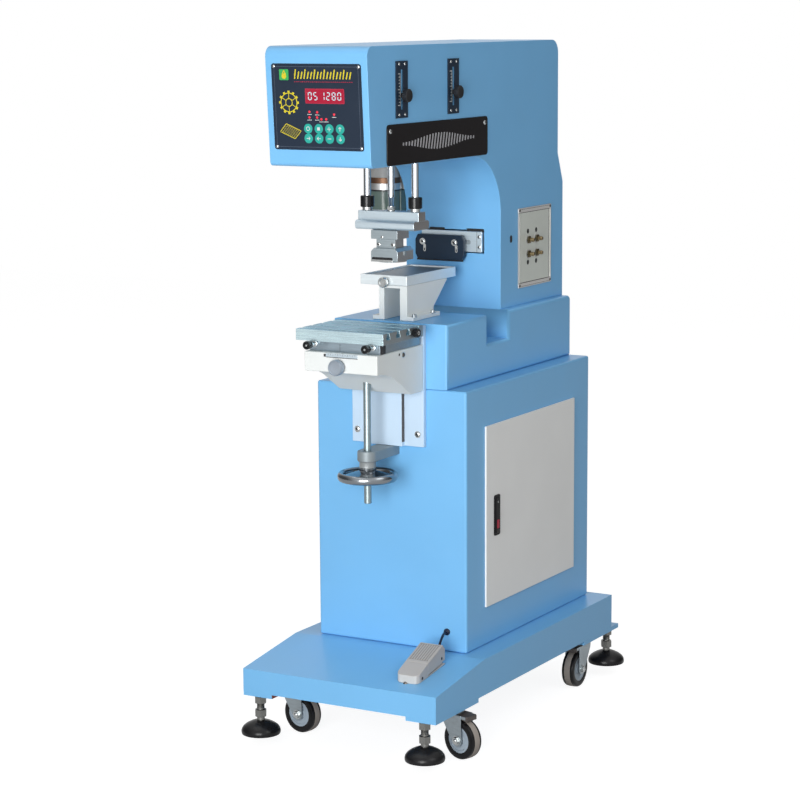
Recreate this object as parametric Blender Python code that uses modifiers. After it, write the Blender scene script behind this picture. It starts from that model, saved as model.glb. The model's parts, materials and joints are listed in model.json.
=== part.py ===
"""Pad printing machine on casters: base, cabinet, C-frame, printing carriage, ink tray and lifting table.

Metres, +Z up. The front faces -Y and the door is on +X. The model is laid out from the floor, the
centre plane x = 0 and the column's front plane y = 0, and is then moved as one, so that the origin
is the middle of its footprint on the floor.
"""
import math

import bmesh
import bpy
from mathutils import Matrix, Vector

# Clearances and working values
SEAT_GAP = 0.0003
RUN_GAP = 0.0005
CUT_OVERRUN = 0.004
JOIN_OVERLAP = 0.001
SMOOTH_ANGLE = math.radians(32)
ARC_TOLERANCE = 0.0002
MERGE_DISTANCE = 0.00001

# Casters
CASTER_HEIGHT = 0.0948
WHEEL_RADIUS = 0.0375
WHEEL_WIDTH = 0.026
TYRE_ROUND = 0.004
HUB_RADIUS = 0.025
HUB_RECESS = 0.002
AXLE_RADIUS = 0.004
AXLE_HEAD_RADIUS = 0.0065
AXLE_HEAD_LENGTH = 0.004
CASTER_TRAIL = 0.025
CASTER_PLATE_LENGTH = 0.062
CASTER_PLATE_WIDTH = 0.052
CASTER_PLATE_THICKNESS = 0.003
RACE_RADIUS = 0.022
RACE_HEIGHT = 0.006
CROWN_RADIUS = 0.0215
CROWN_THICKNESS = 0.005
FORK_LEG_THICKNESS = 0.0025
FORK_SIDE_GAP = 0.0015
FORK_BOSS_RADIUS = 0.012
FORK_ROOT_BACK = 0.014
FORK_ROOT_FRONT = 0.034
FORK_ROOT_HEIGHT = 0.010
FORK_BOSS_SWEEP = math.radians(150)
AXLE_HEAD_INSET = 0.001
BRAKE_WIDTH = 0.030
BRAKE_LENGTH = 0.033
BRAKE_THICKNESS = 0.006
BRAKE_START = 0.012
FRONT_CASTER_SIDE_INSET = 0.032
FRONT_CASTER_INSET = 0.1237
REAR_CASTER_SIDE_INSET = 0.034
REAR_CASTER_INSET = 0.1128
CASTER_TURNS = {"front_right": -15.4, "front_left": -10.0, "rear_right": -90.0, "rear_left": -90.0}

# Base plinth with its ramp and the foot plates
BASE_HALF_WIDTH = 0.206
BASE_FRONT_REACH = 0.2027
BASE_BACK_REACH = 0.5498
BASE_WALL = 0.003
APRON_HEIGHT = 0.0439
RAMP_RISE = 0.0251
RAMP_SETBACK = 0.0156
FOOT_PLATE_WIDTH = 0.0626
FOOT_PLATE_THICKNESS = 0.0077
FRONT_PLATE_LENGTH = 0.1647
REAR_PLATE_LENGTH = 0.164
REAR_PLATE_OVERHANG = 0.034

# Levelling feet
FRONT_FOOT_SIDE_INSET = 0.030
FRONT_FOOT_INSET = 0.0127
REAR_FOOT_SIDE_INSET = 0.0205
REAR_FOOT_INSET = 0.0148
FOOT_STEM_RADIUS = 0.0075
FOOT_STEM_REACH = 0.026
FOOT_CLEARANCE = 0.0222
FOOT_PAD_RADIUS = 0.037
FOOT_PAD_RIM = 0.007
FOOT_PAD_HEIGHT = 0.026
FOOT_SHOULDER_RADIUS = 0.0275
FOOT_SHOULDER_DROP = 0.0065
FOOT_COLLAR_RADIUS = 0.0095
FOOT_COLLAR_HEIGHT = 0.003
FOOT_NUT_RADIUS = 0.0118
FOOT_NUT_HEIGHT = 0.0145
FOOT_NUT_SPACING = 0.0255

# Lower cabinet and door
CABINET_HALF_WIDTH = 0.1606
CABINET_DEPTH = 0.529
CABINET_HEIGHT = 0.4965
CABINET_WALL = 0.003
DOOR_FRONT_Y = 0.072
DOOR_WIDTH = 0.382
DOOR_SILL = 0.0745
DOOR_HEIGHT = 0.347
DOOR_THICKNESS = 0.004
DOOR_LAP = 0.008
LATCH_INSET = 0.030
LATCH_WIDTH = 0.0225
LATCH_RISE = 0.1325
LATCH_HEIGHT = 0.078
LATCH_THICKNESS = 0.0035

# Mid body
MID_HALF_WIDTH = 0.1226
MID_DEPTH = 0.522
MID_HEIGHT = 0.122
MID_WALL = 0.006
MID_BACK_ROUND = 0.009
LEDGE_DEPTH = 0.158
NOTCH_LENGTH = 0.090
NOTCH_DEPTH = 0.0545

# C-frame: neck and head in one hollow casting
FRAME_HALF_WIDTH = 0.104
FRAME_WALL = 0.005
THROAT_HEIGHT = 0.3005
HEAD_HEIGHT = 0.211
HEAD_REACH = 0.242
HEAD_LEAN = 0.0135
HEAD_TOP_FRONT_ROUND = 0.018
HEAD_LOW_FRONT_ROUND = 0.008
HEAD_TOP_BACK_ROUND = 0.026
HEAD_BACK = 0.4975
NECK_BACK = 0.5205
NECK_SLOPE_TOP_DROP = 0.0125
NECK_SLOPE_HEIGHT = 0.058
THROAT_FILLET = 0.086
VENT_RADIUS = 0.0045
VENT_Y = 0.294
VENT_RISE = 0.131
COVER_HALF_WIDTH = 0.085
COVER_HEIGHT = 0.180
COVER_RISE = 0.040
COVER_THICKNESS = 0.0015
COVER_LAP = 0.010

# Carriage inside the head
RAIL_RISE = 0.030
RAIL_THICKNESS = 0.010
RAIL_REACH = 0.015
RAIL_LENGTH = 0.300
CARRIAGE_DEPTH = 0.080
CARRIAGE_DROP = 0.008
CARRIAGE_HEIGHT = 0.052
CARRIAGE_FLANGE_HEIGHT = 0.010
CYLINDER_RADIUS = 0.028
CYLINDER_HEIGHT = 0.130
LINK_HALF_WIDTH = 0.015
LINK_HEIGHT = 0.020
LINK_LEG_Y = 0.410
LINK_LEG_DEPTH = 0.020
CARRIAGE_STROKE = 0.150
CARRIAGE_OVERTRAVEL = 0.006

# Pad head: rods, holder bar and clamp
ROD_Y = 0.008
ROD_SPACING = 0.051
GUIDE_ROD_RADIUS = 0.0068
PISTON_ROD_RADIUS = 0.0062
PISTON_THREAD_RADIUS = 0.0052
PISTON_THREAD_TOP = 0.025
PISTON_NUT_RADIUS = 0.0085
PISTON_NUT_HEIGHT = 0.008
ROD_TOP_REACH = 0.150
COLLAR_RADIUS = 0.013
COLLAR_HEIGHT = 0.0215
WASHER_RADIUS = 0.0095
WASHER_HEIGHT = 0.0055
HOLDER_DROP = 0.0955
HOLDER_HALF_WIDTH = 0.0645
HOLDER_DEPTH = 0.0264
HOLDER_HEIGHT = 0.0175
HOLDER_BACK_OFFSET = 0.0012
RAIL_BAR_HALF_WIDTH = 0.0626
RAIL_BAR_DEPTH = 0.059
RAIL_BAR_HEIGHT = 0.017
RAIL_BAR_ROUND = 0.006
CLAMP_HALF_WIDTH = 0.028
CLAMP_FRONT = 0.0195
CLAMP_DEPTH = 0.044
CLAMP_HEIGHT = 0.0165
CLAMP_NECK_HALF_WIDTH = 0.020
CLAMP_NECK_HEIGHT = 0.017
SHOE_HALF_WIDTH = 0.0284
SHOE_DEPTH = 0.060
SHOE_HEIGHT = 0.0235
SHOE_CHAMFER = 0.006
SHOE_DISC_RADIUS = 0.0275
SHOE_DISC_HEIGHT = 0.006

# Ink stand, tray and printing plate
STAND_LEFT_X = -0.032
STAND_RIGHT_X = 0.028
STAND_LEFT_WEB = 0.011
STAND_RIGHT_WEB = 0.0154
STAND_FRONT = 0.0155
STAND_FOOT_DEPTH = 0.103
STAND_HEIGHT = 0.065
STAND_TOP_DEPTH = 0.156
STAND_TOP_PLATE = 0.005
STAND_HEEL_HEIGHT = 0.016
STAND_FLANGE_WIDTH = 0.014
STAND_FLANGE_HEIGHT = 0.008
TRAY_LEFT_X = -0.072
TRAY_WIDTH = 0.100
TRAY_FRONT = STAND_FRONT
TRAY_DEPTH = 0.191
TRAY_HEIGHT = 0.0185
TRAY_WALL = 0.004
TRAY_FLOOR = 0.006
PLATE_THICKNESS = 0.0095
PLATE_SCREW_X = -0.018
PLATE_SCREW_RADIUS = 0.0095
PLATE_SCREW_LENGTH = 0.012
PLATE_SCREW_DROP = 0.0035

# Blade unit
BAR_HALF_WIDTH = 0.066
BAR_HEIGHT = 0.040
BAR_RISE = 0.109
BAR_PROUD = 0.006
BAR_DEPTH = 0.020
ARM_HALF_WIDTH = 0.016
ARM_INSET = 0.005
SLOT_CLEARANCE = 0.0025
BLADE_HOLDER_LEFT_X = -0.074
BLADE_HOLDER_WIDTH = 0.107
BLADE_HOLDER_DEPTH = 0.0115
BLADE_HOLDER_HEIGHT = 0.048
BLADE_HOLDER_DROP = 0.016
BLADE_HOLDER_CHAMFER = 0.010

# Table: T-slot top, sub-plate, knee, slide and screw
TABLE_HALF_WIDTH = 0.0915
TABLE_FRONT = 0.184
TABLE_DEPTH = 0.146
TABLE_HEIGHT = 0.0207
TABLE_TOP_RISE = 0.793
T_SLOT_COUNT = 4
T_SLOT_PITCH = 0.036
T_SLOT_WIDTH = 0.008
T_SLOT_NECK = 0.006
T_SLOT_FOOT_WIDTH = 0.014
T_SLOT_FOOT_HEIGHT = 0.006
SUB_HALF_WIDTH = 0.074
SUB_FRONT = 0.165
SUB_DEPTH = 0.147
SUB_HEIGHT = 0.0192
SUB_TRAVEL = 0.006
KNEE_HALF_WIDTH = 0.0765
KNEE_FRONT = 0.180
KNEE_FRONT_HEIGHT = 0.036
KNEE_BACK_HEIGHT = 0.087
KNEE_WEB_LENGTH = 0.0455
KNEE_WEB_ROUND = 0.013
KNEE_TOE_LENGTH = 0.0385
KNEE_ROUND = 0.130
SLIDE_HALF_WIDTH = 0.0768
SLIDE_THICKNESS = 0.0105
SLIDE_BOTTOM_RISE = 0.388
SLIDE_HEIGHT = 0.2275
DOVETAIL_HALF_WIDTH = 0.036
DOVETAIL_THICKNESS = 0.010
SCREW_Y = -0.086
SCREW_RADIUS = 0.007
SCREW_STUB = 0.048
SCREW_SOCKET_DEPTH = 0.030
BRACKET_HUB_RADIUS = 0.019
BRACKET_HEIGHT = 0.018
BRACKET_NECK_RADIUS = 0.0155
BRACKET_NECK_HEIGHT = 0.013
BRACKET_NECK_FLARE = 0.003
WHEEL_RIM_RADIUS = 0.0503
WHEEL_RIM_THICKNESS = 0.0124
WHEEL_RIM_DROP = 0.0163
WHEEL_RIM_SIDES = 12
WHEEL_HUB_RADIUS = 0.0155
WHEEL_HUB_HEIGHT = 0.020
WHEEL_WEB_DROP = 0.0067
WHEEL_WEB_THICKNESS = 0.0035

# Knobs on the table
FRONT_KNOB_X = 0.061
FRONT_KNOB_LIFT = 0.003
FRONT_KNOB_RADIUS = 0.0078
FRONT_KNOB_LENGTH = 0.011
FRONT_KNOB_STEM = 0.023
SIDE_KNOB_Y = -0.071
SIDE_KNOB_RADIUS = 0.0085
SIDE_KNOB_LENGTH = 0.010
KNOB_STEM_RADIUS = 0.003
LOCK_KNOB_X = -0.003
LOCK_KNOB_DROP = 0.025
LOCK_KNOB_RADIUS = 0.0145
LOCK_KNOB_LENGTH = 0.016

# Panels and controls on the head and neck
PANEL_HALF_WIDTH = 0.0915
PANEL_HEIGHT = 0.151
PANEL_RISE = 0.030
PANEL_THICKNESS = 0.002
NAME_PLATE_FRONT = 0.1895
NAME_PLATE_LENGTH = 0.3805
NAME_PLATE_HEIGHT = 0.0725
NAME_PLATE_RISE = 0.001
NAME_PLATE_THICKNESS = 0.0015
STROKE_PLATE_WIDTH = 0.042
STROKE_PLATE_HEIGHT = 0.100
STROKE_PLATE_THICKNESS = 0.002
STROKE_PLATE_RISE = 0.0835
STROKE_PLATE_FRONT_Y = -0.136
STROKE_PLATE_REAR_Y = 0.0555
STROKE_SLOT_WIDTH = 0.008
STROKE_SLOT_LENGTH = 0.070
STROKE_KNOB_RADIUS = 0.012
STROKE_KNOB_LENGTH = 0.010
STROKE_KNOB_STANDOFF = 0.005
STROKE_KNOB_STEM_RADIUS = 0.003
STROKE_KNOB_LIFT = 0.0395
AIR_PANEL_FRONT = 0.320
AIR_PANEL_WIDTH = 0.143
AIR_PANEL_RISE = 0.0335
AIR_PANEL_HEIGHT = 0.1555
AIR_PANEL_THICKNESS = 0.002
VALVE_RADIUS = 0.0065
VALVE_LENGTH = 0.013
VALVE_NUT_LENGTH = 0.0045
VALVE_CONE_LENGTH = 0.0014
VALVE_STEM_RADIUS = 0.004
VALVE_COUNT = 4
VALVE_COLUMNS = 2
VALVE_INSET = 0.0425
VALVE_PITCH_Y = 0.036
VALVE_PITCH_Z = 0.028
VALVE_DROP = 0.0635

# Filter regulator on the left of the neck
REGULATOR_Y = 0.225
REGULATOR_X = 0.137
REGULATOR_RADIUS = 0.031
REGULATOR_BOWL_RADIUS = 0.030
REGULATOR_KNOB_RADIUS = 0.0295
REGULATOR_BOWL_LENGTH = 0.050
REGULATOR_BOWL_ROUND = 0.009
REGULATOR_BODY_HEIGHT = 0.025
REGULATOR_KNOB_HEIGHT = 0.025
REGULATOR_RISE = 0.175
REGULATOR_ARM_HALF_WIDTH = 0.014
REGULATOR_ARM_OFFSET = 0.030

# Foot pedal, its cable and the grommet
PEDAL_LEFT_X = 0.101
PEDAL_WIDTH = 0.047
PEDAL_TOE_Y = -0.164
PEDAL_TOE_HEIGHT = 0.0155
PEDAL_SPLIT_LENGTH = 0.038
PEDAL_SPLIT_RISE = 0.0265
PEDAL_TOP_LENGTH = 0.056
PEDAL_TOP_RISE = 0.0405
PEDAL_NOSE_LENGTH = 0.009
PEDAL_NOSE_DROP = 0.009
PEDAL_PLATE_THICKNESS = 0.003
PEDAL_SKIRT_WALL = 0.0025
PEDAL_TREAD_WALL = 0.003
PEDAL_PRESS_ROOM = 0.006
PEDAL_BODY_INSET = 0.006
CABLE_RADIUS = 0.0025
CABLE_POINT_COUNT = 21
# Places that the cable passes, from the pedal's back to the grommet
CABLE_ROUTE = (
    (0.1290, -0.0663, 0.1785),
    (0.1290, -0.0610, 0.1790),
    (0.1287, -0.0550, 0.1840),
    (0.1278, -0.0480, 0.1930),
    (0.1262, -0.0390, 0.2005),
    (0.1228, -0.0250, 0.2070),
    (0.1200, -0.0130, 0.2097),
    (0.1194, -0.0046, 0.2100),
)
GROMMET_X = 0.1194
GROMMET_RISE = 0.0385
GROMMET_RADIUS = 0.0065
GROMMET_LENGTH = 0.004

# Finishes: base colour, roughness, metallic
FINISHES = {
    "sky_blue_paint": ((0.16, 0.46, 0.80), 0.28, 0.0),
    "cream_paint": ((0.80, 0.79, 0.74), 0.45, 0.0),
    "light_grey_paint": ((0.62, 0.64, 0.66), 0.40, 0.0),
    "black_anodised": ((0.02, 0.022, 0.026), 0.35, 0.2),
    "black_rubber": ((0.02, 0.02, 0.02), 0.75, 0.0),
    "beige_plastic": ((0.52, 0.50, 0.47), 0.55, 0.0),
    "dark_plastic": ((0.03, 0.03, 0.035), 0.45, 0.0),
    "panel_film": ((0.03, 0.04, 0.06), 0.32, 0.0),
    "aluminium": ((0.74, 0.76, 0.77), 0.35, 0.9),
    "ground_steel": ((0.50, 0.50, 0.51), 0.35, 0.9),
    "chrome": ((0.80, 0.81, 0.83), 0.10, 1.0),
    "zinc": ((0.62, 0.63, 0.62), 0.38, 0.9),
    "brass": ((0.72, 0.53, 0.26), 0.30, 0.9),
}

# Heights and planes that several pieces share
PLATE_UNDERSIDE = CASTER_HEIGHT
APRON_BOTTOM = PLATE_UNDERSIDE + FOOT_PLATE_THICKNESS
RAMP_FRONT_TOP = APRON_BOTTOM + APRON_HEIGHT
BASE_TOP = RAMP_FRONT_TOP + RAMP_RISE
CABINET_BOTTOM = BASE_TOP + SEAT_GAP
CABINET_TOP = BASE_TOP + CABINET_HEIGHT
MID_BOTTOM = CABINET_TOP + SEAT_GAP
MID_TOP = CABINET_TOP + MID_HEIGHT
NECK_BOTTOM = MID_TOP + SEAT_GAP
NECK_FRONT = LEDGE_DEPTH + NOTCH_LENGTH
HEAD_BOTTOM = MID_TOP + THROAT_HEIGHT
HEAD_TOP = HEAD_BOTTOM + HEAD_HEIGHT
SIDE_FACE = FRAME_HALF_WIDTH + SEAT_GAP
HOLDER_TOP = HEAD_BOTTOM - HOLDER_DROP
TABLE_TOP = TABLE_TOP_RISE
TABLE_BOTTOM = TABLE_TOP - TABLE_HEIGHT
SUB_TOP = TABLE_BOTTOM - SEAT_GAP
SUB_BOTTOM = SUB_TOP - SUB_HEIGHT
KNEE_TOP = SUB_BOTTOM - SEAT_GAP
SLIDE_BOTTOM = BASE_TOP + SLIDE_BOTTOM_RISE
BRACKET_TOP = SLIDE_BOTTOM - SEAT_GAP
BRACKET_BOTTOM = BRACKET_TOP - BRACKET_HEIGHT - BRACKET_NECK_HEIGHT
STAND_TOP = MID_TOP + STAND_HEIGHT
TRAY_BOTTOM = STAND_TOP + SEAT_GAP
BAR_BOTTOM = MID_TOP + BAR_RISE
BAR_FRONT = NECK_FRONT - BAR_PROUD


def clear_scene():
    """Remove everything that the file opens with."""
    for item in list(bpy.data.objects):
        bpy.data.objects.remove(item, do_unlink=True)


def make_collection(name):
    """Return a new collection in the scene."""
    collection = bpy.data.collections.new(name)
    bpy.context.scene.collection.children.link(collection)
    return collection


clear_scene()
PARTS = make_collection("pad_printing_machine")
CUTTERS = make_collection("pad_printing_machine_cutters")
MACHINE = bpy.data.objects.new("machine_frame", None)
PARTS.objects.link(MACHINE)


def add_mesh_object(name, bm, cutter=False):
    """Turn a bmesh into an object of the machine, or into a hidden cutter."""
    mesh = bpy.data.meshes.new(name)
    bm.to_mesh(mesh)
    bm.free()
    return add_object(name, mesh, cutter)


def add_object(name, data, cutter=False):
    """Link an object with this data under the machine's frame."""
    item = bpy.data.objects.new(name, data)
    item.parent = MACHINE
    if cutter:
        CUTTERS.objects.link(item)
        item.hide_render = True
        item.display_type = "WIRE"
    else:
        PARTS.objects.link(item)
    return item


def set_origin(item, point):
    """Move an object's origin to a point, such as its joint's axis, without moving its shape."""
    item.data.transform(Matrix.Translation(item.location - Vector(point)))
    item.location = point


def finish(item, name, smooth=True):
    """Give an object its own material and round shading."""
    colour, roughness, metallic = FINISHES[name]
    material = bpy.data.materials.new(item.name + "_" + name)
    material.use_nodes = True
    shader = material.node_tree.nodes["Principled BSDF"]
    shader.inputs["Base Color"].default_value = (*colour, 1.0)
    shader.inputs["Roughness"].default_value = roughness
    shader.inputs["Metallic"].default_value = metallic
    material.diffuse_color = (*colour, 1.0)
    item.data.materials.append(material)
    if smooth:
        item.data.shade_smooth()
        item.data.set_sharp_from_angle(angle=SMOOTH_ANGLE)
    return item


def span(middle, size):
    """Return the low and high end of a size about its middle."""
    return (middle - size / 2, middle + size / 2)


def block(name, xs, ys, zs, cutter=False):
    """Return a box that fills three spans."""
    bm = bmesh.new()
    size = (xs[1] - xs[0], ys[1] - ys[0], zs[1] - zs[0])
    centre = (sum(xs) / 2, sum(ys) / 2, sum(zs) / 2)
    bmesh.ops.create_cube(bm, size=1.0, matrix=Matrix.Translation(centre) @ Matrix.Diagonal((*size, 1.0)))
    return add_mesh_object(name, bm, cutter)


AXIS_TURNS = {
    "X": Matrix.Rotation(math.radians(90), 4, "Y"),
    "Y": Matrix.Rotation(math.radians(-90), 4, "X"),
    "Z": Matrix.Identity(4),
}


def round_bar(name, axis, centre, radius, reach, sides=24, cutter=False):
    """Return a cylinder along an axis; centre is its other two coordinates and reach its span."""
    bm = bmesh.new()
    middle = sum(reach) / 2
    place = {"X": (middle, *centre), "Y": (centre[0], middle, centre[1]), "Z": (*centre, middle)}[axis]
    matrix = Matrix.Translation(place) @ AXIS_TURNS[axis]
    bmesh.ops.create_cone(
        bm, cap_ends=True, segments=sides, radius1=radius, radius2=radius, depth=reach[1] - reach[0], matrix=matrix
    )
    return add_mesh_object(name, bm, cutter)


def turned(name, profile, place, axis="Z", steps=24, ring=False, cutter=False):
    """Return a turned shape from (radius, height) points that run down its outer side."""
    bm = bmesh.new()
    points = [bm.verts.new((radius, 0, height)) for radius, height in profile]
    for first, second in zip(points, points[1:]):
        bm.edges.new((first, second))
    if ring:
        bm.edges.new((points[-1], points[0]))
    item = add_mesh_object(name, bm, cutter)
    screw = item.modifiers.new("turn", "SCREW")
    screw.steps = steps
    screw.render_steps = steps
    screw.use_merge_vertices = True
    screw.merge_threshold = MERGE_DISTANCE
    item.matrix_local = Matrix.Translation(place) @ AXIS_TURNS[axis]
    return item


def arc_steps(radius, turn):
    """Return how many chords keep an arc within the tolerance."""
    return max(2, math.ceil(abs(turn) / (2 * math.acos(1 - ARC_TOLERANCE / radius))))


def rounded(corners):
    """Return an outline's points from (a, b, radius) corners, each corner a tangent arc."""
    points = []
    for index, (a, b, radius) in enumerate(corners):
        corner = Vector((a, b))
        if not radius:
            points.append(tuple(corner))
            continue
        to_last = (Vector(corners[index - 1][:2]) - corner).normalized()
        to_next = (Vector(corners[(index + 1) % len(corners)][:2]) - corner).normalized()
        half = to_last.angle(to_next) / 2
        centre = corner + (to_last + to_next).normalized() * radius / math.sin(half)
        start = corner + to_last * radius / math.tan(half) - centre
        turn = start.angle_signed(corner + to_next * radius / math.tan(half) - centre)
        steps = arc_steps(radius, turn)
        for step in range(steps + 1):
            angle = -turn * step / steps
            arm = Matrix.Rotation(angle, 2) @ start
            points.append(tuple(centre + arm))
    return points


OUTLINE_FRAMES = {
    "X": Matrix(((0, 0, 1, 0), (1, 0, 0, 0), (0, 1, 0, 0), (0, 0, 0, 1))),
    "Y": Matrix(((1, 0, 0, 0), (0, 0, -1, 0), (0, 1, 0, 0), (0, 0, 0, 1))),
    "Z": Matrix.Identity(4),
}


def prism(name, outline, axis, reach, cutter=False):
    """Return an outline carried along an axis; the outline's two values are the other coordinates."""
    curve = bpy.data.curves.new(name, "CURVE")
    curve.dimensions = "2D"
    curve.fill_mode = "BOTH"
    curve.extrude = (reach[1] - reach[0]) / 2
    spline = curve.splines.new("POLY")
    spline.points.add(len(outline) - 1)
    for point, (a, b) in zip(spline.points, outline):
        point.co = (a, b, 0, 1)
    spline.use_cyclic_u = True
    return mesh_from_curve(name, curve, OUTLINE_FRAMES[axis], sum(reach) / 2, axis, cutter)


def mesh_from_curve(name, curve, frame, middle, axis, cutter):
    """Turn a curve into a closed mesh that stands in the machine's frame."""
    source = bpy.data.objects.new(name + "_curve", curve)
    CUTTERS.objects.link(source)
    depsgraph = bpy.context.evaluated_depsgraph_get()
    mesh = bpy.data.meshes.new_from_object(source.evaluated_get(depsgraph))
    bpy.data.objects.remove(source, do_unlink=True)
    bpy.data.curves.remove(curve)
    bm = bmesh.new()
    bm.from_mesh(mesh)
    bpy.data.meshes.remove(mesh)
    bmesh.ops.remove_doubles(bm, verts=bm.verts, dist=MERGE_DISTANCE)
    place = {"X": (middle, 0, 0), "Y": (0, middle, 0), "Z": (0, 0, middle)}[axis]
    bmesh.ops.transform(bm, matrix=Matrix.Translation(place) @ frame, verts=bm.verts)
    bmesh.ops.recalc_face_normals(bm, faces=bm.faces)
    return add_mesh_object(name, bm, cutter)


def combine(item, tool, operation):
    """Add a Boolean modifier."""
    modifier = item.modifiers.new(tool.name, "BOOLEAN")
    modifier.operation = operation
    modifier.solver = "EXACT"
    modifier.object = tool


def cut(item, *tools):
    """Cut tools out of an object."""
    for tool in tools:
        combine(item, tool, "DIFFERENCE")


def fuse(item, *tools):
    """Join tools onto an object."""
    for tool in tools:
        combine(item, tool, "UNION")


def corner_places(front_side, front, rear_side, rear):
    """Return four places near the base's corners, from their insets to its sides and plate ends."""
    front_x = BASE_HALF_WIDTH - front_side
    rear_x = BASE_HALF_WIDTH - rear_side
    front_y = front - BASE_FRONT_REACH
    rear_y = BASE_BACK_REACH + REAR_PLATE_OVERHANG - rear
    return {
        "front_right": (front_x, front_y),
        "front_left": (-front_x, front_y),
        "rear_right": (rear_x, rear_y),
        "rear_left": (-rear_x, rear_y),
    }


def caster_places():
    """Return each caster's name and swivel axis."""
    return corner_places(FRONT_CASTER_SIDE_INSET, FRONT_CASTER_INSET, REAR_CASTER_SIDE_INSET, REAR_CASTER_INSET)


def foot_places():
    """Return each levelling foot's name and stem axis."""
    return corner_places(FRONT_FOOT_SIDE_INSET, FRONT_FOOT_INSET, REAR_FOOT_SIDE_INSET, REAR_FOOT_INSET)


def base_profile(inset, drop):
    """Return the plinth's side outline, inset by a wall and reaching down by a drop."""
    front = -BASE_FRONT_REACH + inset
    back = BASE_BACK_REACH - inset
    bottom = APRON_BOTTOM - drop
    return [
        (front, bottom),
        (front, RAMP_FRONT_TOP - inset),
        (-RAMP_SETBACK, BASE_TOP - inset),
        (back, BASE_TOP - inset),
        (back, bottom),
    ]


def build_base():
    """Plinth of bent sheet, open below, with the foot plates and caster plates welded on."""
    base = prism("base_plinth", base_profile(0, 0), "X", span(0, 2 * BASE_HALF_WIDTH))
    hollow = prism(
        "base_hollow", base_profile(BASE_WALL, CUT_OVERRUN), "X", span(0, 2 * (BASE_HALF_WIDTH - BASE_WALL)), cutter=True
    )
    cut(base, hollow)
    front = -BASE_FRONT_REACH + SEAT_GAP
    back = BASE_BACK_REACH + REAR_PLATE_OVERHANG
    for side in (1, -1):
        outer = BASE_HALF_WIDTH - SEAT_GAP
        xs = sorted((side * outer, side * (outer - FOOT_PLATE_WIDTH)))
        zs = (PLATE_UNDERSIDE, APRON_BOTTOM + JOIN_OVERLAP)
        front_plate = block("front_foot_plate", xs, (front, front + FRONT_PLATE_LENGTH), zs, cutter=True)
        rear_plate = block("rear_foot_plate", xs, (back - REAR_PLATE_LENGTH, back), zs, cutter=True)
        fuse(base, front_plate, rear_plate)
    for x, y in caster_places().values():
        plate = block(
            "caster_plate",
            span(x, CASTER_PLATE_WIDTH),
            span(y, CASTER_PLATE_LENGTH),
            (PLATE_UNDERSIDE - CASTER_PLATE_THICKNESS, PLATE_UNDERSIDE + JOIN_OVERLAP),
            cutter=True,
        )
        race_bottom = PLATE_UNDERSIDE - CASTER_PLATE_THICKNESS - RACE_HEIGHT
        race = round_bar(
            "caster_race", "Z", (x, y), RACE_RADIUS, (race_bottom, PLATE_UNDERSIDE - JOIN_OVERLAP), cutter=True
        )
        fuse(base, plate, race)
    for x, y in foot_places().values():
        reach = (PLATE_UNDERSIDE - CUT_OVERRUN, APRON_BOTTOM + CUT_OVERRUN)
        cut(base, round_bar("stem_hole", "Z", (x, y), FOOT_STEM_RADIUS + RUN_GAP, reach, sides=16, cutter=True))
    finish(base, "sky_blue_paint", smooth=False)


def build_feet():
    """Levelling feet: stem, domed pad and two hex nuts in one solid that screws up and down."""
    pad_top = FOOT_CLEARANCE + FOOT_PAD_HEIGHT
    top = APRON_BOTTOM + FOOT_STEM_REACH
    for name, (x, y) in foot_places().items():
        profile = [
            (0, top),
            (FOOT_STEM_RADIUS, top),
            (FOOT_STEM_RADIUS, pad_top + FOOT_COLLAR_HEIGHT),
            (FOOT_COLLAR_RADIUS, pad_top),
            (FOOT_SHOULDER_RADIUS, pad_top - FOOT_SHOULDER_DROP),
            (FOOT_PAD_RADIUS, FOOT_CLEARANCE + FOOT_PAD_RIM),
            (FOOT_PAD_RADIUS, FOOT_CLEARANCE),
            (0, FOOT_CLEARANCE),
        ]
        foot = turned("levelling_foot_" + name, profile, (x, y, 0), steps=20)
        nut_top = PLATE_UNDERSIDE - SEAT_GAP
        for nut_z in (nut_top, nut_top - FOOT_NUT_SPACING):
            reach = (nut_z - FOOT_NUT_HEIGHT, nut_z)
            fuse(foot, round_bar("foot_nut", "Z", (x, y), FOOT_NUT_RADIUS, reach, sides=6, cutter=True))
        finish(foot, "black_rubber")


def fork_leg_outline():
    """Return one fork leg's outline: along the trail, and up from the floor."""
    top = PLATE_UNDERSIDE - CASTER_PLATE_THICKNESS - RACE_HEIGHT - SEAT_GAP
    points = [(-FORK_ROOT_BACK, top), (FORK_ROOT_FRONT, top)]
    steps = arc_steps(FORK_BOSS_RADIUS, FORK_BOSS_SWEEP)
    for step in range(steps + 1):
        angle = -FORK_BOSS_SWEEP * step / steps
        points.append((
            CASTER_TRAIL + FORK_BOSS_RADIUS * math.cos(angle),
            WHEEL_RADIUS + FORK_BOSS_RADIUS * math.sin(angle),
        ))
    points.append((-FORK_ROOT_BACK, top - FORK_ROOT_HEIGHT))
    return points


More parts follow.
